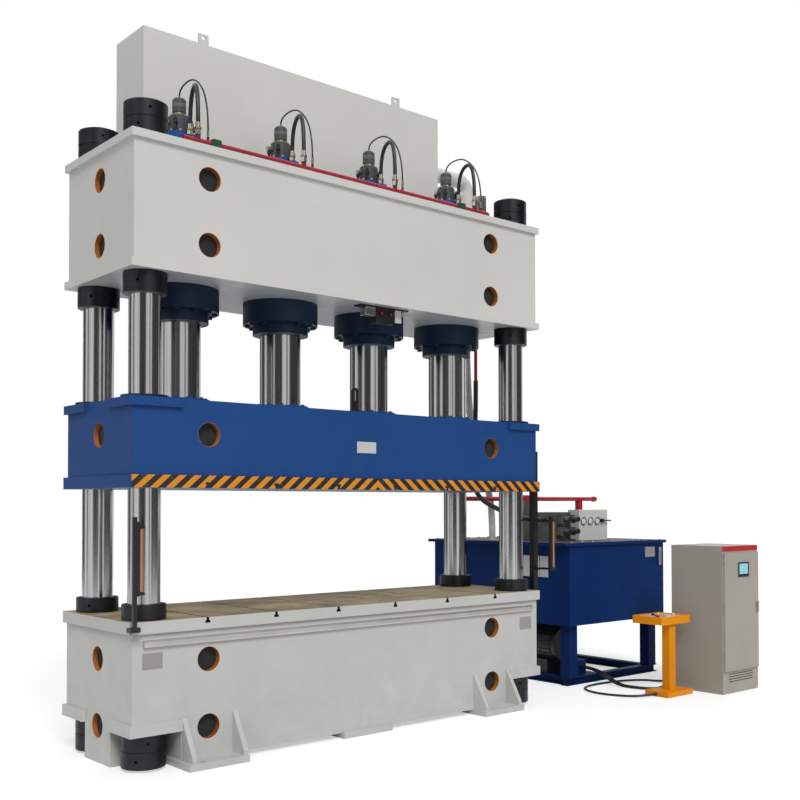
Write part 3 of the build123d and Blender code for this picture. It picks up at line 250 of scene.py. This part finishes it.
def table_surface():
    """The table: white painted edges, a brown oil film on the machined top, and painted shade on the walls of
    its slots and holes.
    """
    edge_z, half_length, half_depth = 1.2885, 2.4995, 0.7145
    joint_y, joint_half = 0.02, 0.004
    n = Nodes("table_steel")
    film = n.mix(n.spread(n.noise(2.4, 6, 0.65), 0.32, 0.68), (0.21, 0.155, 0.08), (0.56, 0.44, 0.255))
    film = n.mix(n.spread(n.noise(14, 4, 0.7), 0.5, 0.75, 0.0, 0.5), film, (0.16, 0.115, 0.06))
    edge = n.mix(n.spread(n.noise(0.9, 5), 0.3, 0.7), (0.54, 0.535, 0.515), (0.6, 0.595, 0.575))
    upward = n.spread(n.axis("Z", n.normal()), 0.5, 0.6)
    high = n.spread(n.axis("Z"), edge_z, edge_z + 0.001)
    on_top = n.math("MULTIPLY", upward, high)
    body = n.mix(on_top, edge, film)
    # Painted shade: below the top and inside the table's outline, the walls of the slots and holes are near
    # black.
    inside = n.spread(n.math("ABSOLUTE", n.axis("Y")), half_depth, half_depth - 0.001)
    low = n.spread(n.axis("Z"), edge_z, edge_z - 0.001)
    along = n.spread(n.math("ABSOLUTE", n.axis("X")), half_length, half_length - 0.001)
    inside = n.math("MULTIPLY", inside, along)
    body = n.mix(n.math("MULTIPLY", inside, low), body, (0.035, 0.028, 0.018))
    across = n.math("ABSOLUTE", n.math("SUBTRACT", n.axis("Y"), joint_y))
    groove = n.spread(across, joint_half + 0.003, joint_half)
    body = n.mix(n.math("MULTIPLY", groove, on_top), body, (0.03, 0.022, 0.014))
    n.bump(n.noise(90, 4), 0.3, 0.0006)
    return n.finish(body, n.spread(n.noise(5, 4), 0.3, 0.7, 0.5, 0.75), n.math("MULTIPLY", on_top, 0.1))


def two_tone(name, below, above, split, rough=0.45, shine=0.2):
    """Paint in one colour up to a height and in another above it."""
    n = Nodes(name)
    cloud = n.spread(n.noise(1.4, 5), 0.3, 0.7)
    high = n.math("GREATER_THAN", n.axis("Z"), split)
    first = n.mix(cloud, shade(below, 0.88), shade(below, 1.12))
    second = n.mix(cloud, shade(above, 0.88), shade(above, 1.12))
    n.put(n.shader.inputs["Specular IOR Level"], shine)
    n.bump(n.noise(420, 2), 0.25, 0.00025)
    return n.finish(n.mix(high, first, second), n.spread(n.noise(6, 4), 0.3, 0.7, rough - 0.07, rough + 0.09))


def stripes():
    """Yellow and black hazard stripes that lean towards the middle of the slide."""
    middle_x, bottom_z, pitch, lean_rate = 0.13, 2.43, 0.147, 1.15
    n = Nodes("hazard_stripes")
    along = n.math("ABSOLUTE", n.math("SUBTRACT", n.axis("X"), middle_x))
    rise = n.math("SUBTRACT", n.axis("Z"), bottom_z)
    lean = n.math("ADD", along, n.math("MULTIPLY", rise, lean_rate))
    wave = n.math("FRACT", n.math("DIVIDE", lean, pitch))
    band = n.spread(n.math("ABSOLUTE", n.math("SUBTRACT", wave, 0.5)), 0.245, 0.255)
    scuff = n.spread(n.noise(16, 5, 0.7), 0.55, 0.75, 0.0, 0.35)
    body = n.mix(band, (0.74, 0.27, 0.008), (0.012, 0.012, 0.014))
    body = n.mix(scuff, body, (0.22, 0.16, 0.07))
    n.bump(n.noise(300, 2), 0.2, 0.0002)
    return n.finish(body, 0.42)


def dial_face():
    """A white gauge dial with bare tick marks, in its own local frame."""
    n = Nodes("dial_face")
    x, z = n.axis("X"), n.axis("Z")
    tick_count = 32
    spoke = n.math("FRACT", n.math("MULTIPLY", n.math("ARCTAN2", z, x), tick_count / math.tau))
    radius = n.math("SQRT", n.math("ADD", n.math("MULTIPLY", x, x), n.math("MULTIPLY", z, z)))
    ticks = n.math("MULTIPLY", n.math("LESS_THAN", spoke, 0.25), n.math("GREATER_THAN", radius, 0.034))
    body = n.mix(ticks, (0.75, 0.75, 0.72), (0.02, 0.02, 0.02))
    n.bump(n.noise(500, 2), 0.1, 0.0001)
    return n.finish(body, 0.25)


def screen_face():
    """A lit touch screen with plain panes and no lettering."""
    n = Nodes("screen_face")
    panes = n.math("LESS_THAN", n.math("FRACT", n.math("MULTIPLY", n.axis("Z"), 28)), 0.82)
    columns = n.math("LESS_THAN", n.math("FRACT", n.math("MULTIPLY", n.axis("X"), 14)), 0.9)
    panes = n.math("MULTIPLY", panes, columns)
    cloud = n.spread(n.noise(12, 3), 0.3, 0.7)
    body = n.mix(n.math("MULTIPLY", panes, cloud), (0.16, 0.42, 0.46), (0.34, 0.66, 0.66))
    n.put(n.shader.inputs["Emission Color"], body)
    n.put(n.shader.inputs["Emission Strength"], 0.45)
    return n.finish(body, 0.12)


port_block_low, lid_low = 5.4, 1.7992
cylinder_paint = two_tone("cylinder_navy", (0.01, 0.023, 0.052), (0.012, 0.07, 0.3), port_block_low)
unit_paint = two_tone("unit_blue", (0.003, 0.027, 0.135), (0.09, 0.088, 0.085), lid_low, 0.5, 0.08)
paints = {
    "bed": shaded_bed_white, "upper_beam": white, "upper_tank": white, "return_pipe": white,
    "bed_table": table_surface(), "slide": blue, "slide_lugs": black, "plunger_flanges": blue,
    "top_nuts": nut_black, "bottom_nuts": nut_black, "clamp_nuts": nut_black, "guide_bushes": navy,
    "prefill_valves": cast, "pressure_pipe": red, "unit_pipe": red,
    "pipe_clamps": green, "hose_fittings": zinc, "cable_duct": duct_steel, "name_plates": name_plate,
    "sensor_box": black, "curtain_left": black, "curtain_right": black, "unit_tank": unit_paint,
    "unit_frame": unit_navy, "motor_pump": black, "unit_valves": valve_steel, "gauge_box": gauge_white,
    "gauge_lever": black, "cabinet": cabinet_grey, "cabinet_door": cabinet_grey, "door_handle": zinc,
    "console": yellow, "stop_button": plastic("button_red", (0.62, 0.03, 0.015), 0.25),
    "start_button": plastic("button_yellow", (0.75, 0.5, 0.02), 0.25), "selector": black,
}
for place in ("front_left", "front_right", "rear_left", "rear_right"):
    paints[f"column_{place}"] = column_chrome
for number in range(1, 5):
    paints[f"cylinder_{number}"] = cylinder_paint
    paints[f"plunger_{number}"] = plunger_chrome
for name, material in paints.items():
    for material_slot in nodes[name].material_slots:
        material_slot.material = material


# Places of the CAD that the cords and the added pieces follow, in metres

plate_front = -0.715
slide_low = 2.43
slot_count, slot_pitch = 6, 0.71
hole_x, hole_r = 1.75, 0.11
cylinder_count, cylinder_pitch = 4, 1.13
cylinder_xs = [(number - (cylinder_count - 1) / 2) * cylinder_pitch for number in range(cylinder_count)]
port_y, branch_y = -0.215, -0.64
main_shift, pilot_shift = 0.15, 0.05
riser_x, riser_y = 2.73, 0.6
return_x, return_y = 2.72, 0.76
breather_x, breather_y = 2.1, -0.17
gland_z, gland_ys, console_gland_x = 0.07, (-1.185, -1.148), 4.64
cable_z = 0.015
door_face = -1.9
gauge_xs, gauge_z = [4.425 + 0.141 * number for number in range(3)], 2.062
lid_top = 1.8


# Cords: the hoses and cables, along the same routes as their solids

def cord(name, points, radius, material):
    """A hose or cable drawn as a smooth curve that takes the place of its solid."""
    curve = bpy.data.curves.new(name, "CURVE")
    curve.dimensions = "3D"
    curve.bevel_depth = radius
    curve.bevel_resolution = 5
    curve.resolution_u = 16
    curve.use_fill_caps = True
    spline = curve.splines.new("NURBS")
    spline.points.add(len(points) - 1)
    for point, where in zip(spline.points, points):
        point.co = (*where, 1)
    spline.order_u = 3
    spline.use_endpoint_u = True
    piece = bpy.data.objects.new(f"{name}_cord", curve)
    scene.collection.objects.link(piece)
    curve.materials.append(material)
    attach(piece, "frame")
    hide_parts(name)


for number, x in enumerate(cylinder_xs, start=1):
    main_x, pilot_x = x - main_shift, x - pilot_shift
    cord(f"main_hose_{number}",
         [(x, port_y, 5.83), (x, port_y, 6.1), (main_x, branch_y, 6.1), (main_x, branch_y, 5.695)],
         0.02, hose_black)
    cord(f"pilot_hose_{number}",
         [(x, 0, 6.145), (x, 0, 6.235), (x - 0.025, -0.36, 6.235), (pilot_x, branch_y, 5.93),
          (pilot_x, branch_y, 5.645)],
         0.008, hose_black)
cord("return_hose",
     [(return_x, return_y, 4.65), (return_x, return_y, 3.5), (3.05, 0.82, 2.65), (3.6, 1.2, 2.35),
      (3.6, 1.2, 1.8)],
     0.045, hose_grey)
cord("supply_hose",
     [(riser_x, riser_y, 3.85), (riser_x, riser_y, 3.1), (2.62, riser_y, 2.42), (3.2, 0.5, 2.15),
      (3.55, 0.42, 2.08), (3.81, 0.42, 2.08)],
     0.03, hose_black)
for number, (y, x) in enumerate(zip(gland_ys, (4.01, 4.07)), start=1):
    cord(f"cabinet_cable_{number}",
         [(4.43, y, gland_z), (4.36, y, gland_z), (4.14, y + 0.01, cable_z), (x - 0.02, y + 0.29, cable_z),
          (x - 0.005, -0.6, cable_z), (x, -0.26, 0.175), (x, 0.0, 0.175)],
         0.014, cable_black)
cord("console_cable",
     [(3.79, -1.385, 0.03), (3.72, -1.385, 0.03), (3.49, -1.235, cable_z), (3.35, -0.785, cable_z),
      (3.56, -0.395, cable_z), (4.24, -0.41, cable_z), (4.58, -0.585, cable_z),
      (console_gland_x, -0.83, cable_z), (console_gland_x, -1.04, gland_z),
      (console_gland_x, -1.11, gland_z)],
     0.014, cable_black)


# Pieces added to the CAD's shapes

class Piece:
    """Collects simple solids into one mesh, with its edges softened when it is made."""

    def __init__(self, name, body, slot, material, soft=0.0015):
        self.name, self.body, self.slot, self.material, self.soft = name, body, slot, material, soft
        self.mesh = bmesh.new()

    def box(self, low, high):
        low, high = Vector(low), Vector(high)
        made = bmesh.ops.create_cube(self.mesh, size=1)
        spot = Matrix.Translation((low + high) / 2) @ Matrix.Diagonal((*(high - low), 1))
        bmesh.ops.transform(self.mesh, matrix=spot, verts=made["verts"])
        return self

    def bar(self, start, end, radius, sides=32, end_radius=None):
        start, end = Vector(start), Vector(end)
        way = end - start
        made = bmesh.ops.create_cone(self.mesh, cap_ends=True, segments=sides, radius1=radius,
                                     radius2=radius if end_radius is None else end_radius, depth=way.length)
        spot = Matrix.Translation((start + end) / 2) @ way.to_track_quat("Z", "Y").to_matrix().to_4x4()
        bmesh.ops.transform(self.mesh, matrix=spot, verts=made["verts"])
        return self

    def tube(self, start, end, outer, inner, sides=64):
        start, end = Vector(start), Vector(end)
        turn = (end - start).to_track_quat("Z", "Y").to_matrix()
        rings = []
        angles = [k * math.tau / sides for k in range(sides)]
        for centre, radius in ((start, outer), (end, outer), (end, inner), (start, inner)):
            spots = [Vector((radius * math.cos(aim), radius * math.sin(aim), 0)) for aim in angles]
            rings.append([self.mesh.verts.new(centre + turn @ spot) for spot in spots])
        for first, second in zip(rings, rings[1:] + rings[:1]):
            for k in range(sides):
                self.mesh.faces.new((first[k], first[(k + 1) % sides], second[(k + 1) % sides], second[k]))
        return self

    def make(self):
        bmesh.ops.recalc_face_normals(self.mesh, faces=self.mesh.faces[:])
        data = bpy.data.meshes.new(self.name)
        self.mesh.to_mesh(data)
        self.mesh.free()
        data.materials.append(self.material)
        for face in data.polygons:
            face.use_smooth = True
        data.set_sharp_from_angle(angle=math.radians(35))
        made = bpy.data.objects.new(self.name, data)
        scene.collection.objects.link(made)
        if self.soft:
            bevel = made.modifiers.new("soft_edges", "BEVEL")
            bevel.width = self.soft
            bevel.segments = 2
            bevel.limit_method = "ANGLE"
            bevel.angle_limit = math.radians(40)
        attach(made, self.body)
        return made


def box_piece(name, body, slot, material, low, high, soft=0.001):
    """A piece that is one box, given by its low and high corners."""
    Piece(name, body, slot, material, soft).box(low, high).make()


# Hazard stripes, the slot ends that cut into them as dark marks of painted shade, and the bare sign on the
# slide
box_piece("hazard_strip", "slide_group", "slide_blue", stripes(),
          (-2.494, plate_front - 0.0012, slide_low + 0.0005), (2.494, plate_front + 0.0002, 2.541), 0)
slot_shade_marks = Piece("slot_end_shade", "slide_group", "slide_blue", shade_black, 0)
for k in range(slot_count):
    x = (k - (slot_count - 1) / 2) * slot_pitch
    for half, low_z, high_z in ((0.015, 2.431, 2.462), (0.026, 2.459, 2.481)):
        slot_shade_marks.box((x - half, plate_front - 0.0017, low_z), (x + half, plate_front - 0.001, high_z))
slot_shade_marks.make()
box_piece("slide_sign", "slide_group", "plate_aluminium", gauge_white,
          (-0.11, -0.688, 2.796), (0.129, -0.6845, 2.909))

# Painted rims of the round access holes, and dark discs behind them that are painted shade inside the holes
hole_levels = (("frame", "press_white", (0.325, 0.917, 4.602, 5.192)),
               ("slide_group", "slide_blue", (2.905,)))
side_rim, side_shade_disc = (0.6838, 0.626), (0.624, 0.616)
end_rim, end_shade_disc = (2.4688, 2.426), (2.424, 2.415)
for body, slot, levels in hole_levels:
    rims = Piece(f"hole_rims_{body}", body, slot, orange, 0)
    shade_discs = Piece(f"hole_shade_discs_{body}", body, slot, shade_black, 0)
    for z in levels:
        for hand in (-1, 1):
            for x in (-hole_x, hole_x):
                rims.tube(*[(x, hand * y, z) for y in side_rim], hole_r + 0.003, hole_r - 0.003)
                shade_discs.bar(*[(x, hand * y, z) for y in side_shade_disc], hole_r + 0.03, 48)
            rims.tube(*[(hand * x, 0, z) for x in end_rim], hole_r + 0.003, hole_r - 0.004)
            shade_discs.bar(*[(hand * x, 0, z) for x in end_shade_disc], hole_r + 0.002, 48)
    rims.make()
    shade_discs.make()

# Sensor box details under the beam
box_piece("sensor_bracket", "frame", "plate_aluminium", gauge_white,
          (0.436, -0.614, 4.165), (0.52, -0.606, 4.2965), 0.002)
box_piece("sensor_switch", "frame", "fitting_steel", zinc,
          (0.055, -0.61, 4.205), (0.186, -0.52, 4.2965), 0.003)
sensor_lamps = Piece("sensor_lamps", "frame", "pipe_red", red, 0.001)
for x in (0.25, 0.37):
    sensor_lamps.bar((x, -0.627, 4.24), (x, -0.632, 4.24), 0.014, 24)
sensor_lamps.make()

# Light bars of the curtains
bars = Piece("light_bars", "frame", "trim_black", copper, 0.002)
bar_low, bar_high = 1.553, 2.082
for x, y in ((-2.432, -0.77), (2.64, -0.79)):
    bars.tube((x, y, bar_low), (x, y, bar_high), 0.0215, 0.0192)
bars.make()

# Prefill valve details, and the stubs and rings where the hoses leave the pressure pipe
valve_rings = Piece("valve_brass", "frame", "bush_bronze", brass, 0.001)
valve_bolts = Piece("valve_bolts", "frame", "fitting_steel", zinc, 0.001)
cap_grey = paint("cap_grey", (0.13, 0.13, 0.135), 0.4, 0.1)
valve_caps = Piece("valve_caps", "frame", "trim_black", cap_grey, 0.003)
valve_cups = Piece("valve_cups", "frame", "valve_grey", cast, 0.002)
valve_studs = Piece("valve_studs", "frame", "nut_black", nut_black, 0.001)
valve_stubs = Piece("valve_stubs", "frame", "pipe_red", dark_red, 0.002)


def around(middle_x, radius, count, first=0.0):
    """Spots on a circle round a cylinder's axis, with the first at an angle in degrees."""
    aims = [math.radians(first + 360 / count * k) for k in range(count)]
    return [(middle_x + radius * math.cos(aim), radius * math.sin(aim)) for aim in aims]


for x in cylinder_xs:
    main_x, pilot_x = x - main_shift, x - pilot_shift
    valve_rings.tube((x, 0, 5.965), (x, 0, 5.99), 0.058, 0.044)
    valve_rings.tube((x, port_y, 5.768), (x, port_y, 5.786), 0.031, 0.0235)
    valve_rings.tube((main_x, branch_y, 5.633), (main_x, branch_y, 5.65), 0.031, 0.0235)
    valve_caps.bar((x, 0, 6.1195), (x, 0, 6.128), 0.05)
    valve_caps.tube((x, 0, 6.04), (x, 0, 6.075), 0.0665, 0.0645)
    valve_cups.bar((x, 0, 5.962), (x, 0, 6.0), 0.05, 32, 0.0655)
    for spot in around(x, 0.118, 4, 45):
        valve_studs.bar((*spot, 5.78), (*spot, 5.915), 0.013, 12)
        valve_studs.bar((*spot, 5.86), (*spot, 5.89), 0.021, 6)
    for spot in around(x, 0.113, 8, 22.5):
        valve_bolts.bar((*spot, 5.795), (*spot, 5.807), 0.011, 6)
    for spot in around(x, 0.078, 6):
        valve_bolts.bar((*spot, 5.958), (*spot, 5.972), 0.011, 6)
    for stub_x, stub_r in ((main_x, 0.0235), (pilot_x, 0.0125)):
        valve_stubs.bar((stub_x, branch_y, 5.54), (stub_x, branch_y, 5.585), stub_r)
    valve_stubs.bar((x + 0.098, 0, 5.87), (x + 0.16, 0, 5.87), 0.03)
    valve_bolts.bar((x - 0.098, 0, 5.88), (x - 0.16, 0, 5.88), 0.026, 6)
for made in (valve_rings, valve_bolts, valve_caps, valve_cups, valve_studs, valve_stubs):
    made.make()

# Breather fins and the seams of the return pipe
fins = Piece("breather_fins", "frame", "fitting_steel", zinc, 0.001)
fin_count, fin_circle, fin_half = 12, 0.05, 0.006
for k in range(fin_count):
    aim = math.tau * k / fin_count
    x, y = breather_x + fin_circle * math.cos(aim), breather_y + fin_circle * math.sin(aim)
    fins.box((x - fin_half, y - fin_half, 5.62), (x + fin_half, y + fin_half, 5.9))
fins.tube((breather_x, breather_y, 5.56), (breather_x, breather_y, 5.61), 0.056, 0.0515)
fins.make()
seams = Piece("return_pipe_seams", "frame", "press_white", white, 0.001)
seam_high = 0.02
for z in (4.9, 5.5, 6.1):
    seams.tube((return_x, return_y, z), (return_x, return_y, z + seam_high), 0.093, 0.0895)
seams.make()

# Cabinet: header band, screen with its frame, vents drawn as dark strips of painted shade, and cable glands
box_piece("cabinet_band", "frame", "pipe_red", paint("band_red", (0.5, 0.02, 0.03), 0.3, 0.08),
          (4.449, -1.8725, 1.71), (5.211, -1.8695, 1.772))
box_piece("screen_frame", "door", "trim_black", black,
          (4.7372, door_face - 0.0042, 1.3952), (4.9728, door_face - 0.0028, 1.5748))
box_piece("cabinet_screen", "door", "gauge_white", screen_face(),
          (4.765, door_face - 0.005, 1.43), (4.945, door_face - 0.004, 1.555))
# The vent slits are dark strips of painted shade.
vents = Piece("cabinet_vents", "frame", "cabinet_grey", shade_black, 0)
vent_pitch = 0.03
for k in range(4):
    vents.box((4.572, -1.8685, 0.136 + vent_pitch * k), (5.088, -1.867, 0.144 + vent_pitch * k))
vents.make()
glands = Piece("cable_glands", "frame", "bush_bronze", brass, 0.001)
for y in gland_ys:
    glands.tube((4.428, y, gland_z), (4.438, y, gland_z), 0.0178, 0.0145)
glands.tube((console_gland_x, -1.108, gland_z), (console_gland_x, -1.118, gland_z), 0.0178, 0.0145)
glands.make()

# Console: panel, lamps and bezels
box_piece("console_panel", "frame", "gauge_white", paint("panel_grey", (0.5, 0.5, 0.5), 0.35, 0.05),
          (3.836, -1.439, 0.9232), (4.314, -1.061, 0.9245))
bezels = Piece("button_bezels", "frame", "fitting_steel", zinc, 0.001)
for x, y in ((3.925, -1.31), (4.055, -1.31)):
    bezels.tube((x, y, 0.9235), (x, y, 0.9265), 0.03, 0.0235)
bezels.make()
lamp_yellow = plastic("lamp_yellow", (0.8, 0.62, 0.05), 0.2, 0.2)
lamps = Piece("console_lamps", "frame", "button_yellow", lamp_yellow, 0.002)
for x, y in ((4.135, -1.16), (4.265, -1.29)):
    lamps.bar((x, y, 0.93), (x, y, 0.95), 0.0175, 32, 0.012)
lamps.make()

# Gauges, each dial with an origin of its own, which its ticks are set round
dials = dial_face()
glass_rings = Piece("gauge_rings", "frame", "fitting_steel", nut_black, 0.001)
needles = Piece("gauge_needles", "frame", "pipe_red", dark_red, 0)
for number, x in enumerate(gauge_xs, start=1):
    dial = Piece(f"gauge_dial_{number}", "frame", "gauge_white", dials, 0)
    dial.bar((0, -0.001, 0), (0, 0, 0), 0.0455, 48).make().location = (x, 0.2855, gauge_z)
    glass_rings.tube((x, 0.2775, gauge_z), (x, 0.2765, gauge_z), 0.052, 0.0445)
    needles.box((x - 0.001, 0.282, gauge_z - 0.012), (x + 0.001, 0.283, gauge_z + 0.033))
glass_rings.make()
needles.make()
tip = Piece("lever_tip", "lever", "pipe_red", red, 0.001)
tip.bar((4.905, 0.238, gauge_z), (4.938, 0.238, gauge_z), 0.0115).make()

# Power unit: level gauge, bare label, terminal panel, bolts round the lid and caps of the solenoids
box_piece("level_gauge", "frame", "fitting_steel", name_plate,
          (5.272, -0.3235, 1.46), (5.328, -0.3215, 1.7), 0.002)
box_piece("level_column", "frame", "slide_blue", blue, (5.294, -0.3255, 1.49), (5.306, -0.3235, 1.66))
box_piece("unit_label", "frame", "plate_aluminium", plate_steel,
          (5.0, -0.3025, 1.575), (5.21, -0.3005, 1.709))
panel = Piece("terminal_panel", "frame", "gauge_white", gauge_white, 0.002)
row_pitch = 0.15
for k in range(3):
    panel.box((3.47, 0.06 + row_pitch * k, 1.355), (3.4795, 0.195 + row_pitch * k, 1.624))
panel.make()
lid_bolts = Piece("lid_bolts", "frame", "fitting_steel", zinc, 0.001)
bolt_pitch, bolt_high = 0.2, 0.012
for k in range(10):
    x = 3.53 + bolt_pitch * k
    for y in (-0.29, 2.24):
        lid_bolts.bar((x, y, lid_top), (x, y, lid_top + bolt_high), 0.014, 6)
lid_bolts.make()
knobs = Piece("solenoid_caps", "frame", "trim_black", black, 0.002)
for x in (3.91, 4.07):
    for z in (1.93, 2.09):
        knobs.bar((x, 0.07, z), (x, 0.055, z), 0.03)
knobs.make()


# Light and surroundings: a pale floor, a white world, one soft sun and dark cards for the bright metal

def background_only(tree):
    """1 for rays from the camera, from gloss and through glass, and 0 for the light on the object."""
    path = tree.nodes.new("ShaderNodeLightPath")
    total = path.outputs["Is Camera Ray"]
    for ray in ("Is Glossy Ray", "Is Transmission Ray"):
        both = tree.nodes.new("ShaderNodeMath")
        both.operation = "MAXIMUM"
        tree.links.new(total, both.inputs[0])
        tree.links.new(path.outputs[ray], both.inputs[1])
        total = both.outputs[0]
    return total


def flat_piece(name, corners, material):
    """One flat face that belongs to the stage and not to the object."""
    data = bpy.data.meshes.new(name)
    data.from_pydata(corners, [], [(0, 1, 2, 3)])
    data.materials.append(material)
    made = bpy.data.objects.new(name, data)
    scene.collection.objects.link(made)
    return made


ground = bpy.data.materials.new("floor_white")
ground.use_nodes = True
tree = ground.node_tree
surface = tree.nodes["Principled BSDF"]
surface.inputs["Base Color"].default_value = (0.62, 0.62, 0.62, 1)
surface.inputs["Roughness"].default_value = 0.8
surface.inputs["Emission Color"].default_value = (1, 1, 1, 1)
lift = tree.nodes.new("ShaderNodeMath")
lift.operation = "MULTIPLY"
floor_glow = 0.5
lift.inputs[1].default_value = floor_glow
tree.links.new(background_only(tree), lift.inputs[0])
tree.links.new(lift.outputs[0], surface.inputs["Emission Strength"])
floor_half, floor_z = 90, -0.001
flat_piece("floor", [(-floor_half, -floor_half, floor_z), (floor_half, -floor_half, floor_z),
                     (floor_half, floor_half, floor_z), (-floor_half, floor_half, floor_z)], ground)

world = bpy.data.worlds.new("hall")
scene.world = world
world.use_nodes = True
tree = world.node_tree
soft = tree.nodes["Background"]
soft.inputs["Color"].default_value = (0.97, 0.985, 1.0, 1)
soft.inputs["Strength"].default_value = 0.5
clear = tree.nodes.new("ShaderNodeBackground")
clear.inputs["Color"].default_value = (1, 1, 1, 1)
clear.inputs["Strength"].default_value = 1.0
choose = tree.nodes.new("ShaderNodeMixShader")
tree.links.new(background_only(tree), choose.inputs[0])
tree.links.new(soft.outputs[0], choose.inputs[1])
tree.links.new(clear.outputs[0], choose.inputs[2])
tree.links.new(choose.outputs[0], tree.nodes["World Output"].inputs["Surface"])

card_black = bpy.data.materials.new("card_black")
card_black.use_nodes = True
card_shader = card_black.node_tree.nodes["Principled BSDF"]
card_shader.inputs["Base Color"].default_value = (0.13, 0.13, 0.135, 1)
card_shader.inputs["Roughness"].default_value = 1.0
card_distance, card_high = 24, 18
card_arcs = ((-90, -84), (-72, -8), (48, 100), (108, 140), (160, 168), (205, 246))
for number, arc in enumerate(card_arcs):
    first, last = [(card_distance * math.cos(math.radians(a)), card_distance * math.sin(math.radians(a)))
                   for a in arc]
    corners = [(*first, 0), (*last, 0), (*last, card_high), (*first, card_high)]
    card = flat_piece(f"card_{number}", corners, card_black)
    card.visible_camera = card.visible_diffuse = card.visible_shadow = card.visible_transmission = False

sun_data = bpy.data.lights.new("sun", "SUN")
sun_data.energy = 1.7
sun_data.angle = math.radians(24)
sun = bpy.data.objects.new("sun", sun_data)
sun_way = Vector((0.3, 0.66, -0.69))
sun.rotation_euler = sun_way.to_track_quat("-Z", "Y").to_euler()
scene.collection.objects.link(sun)
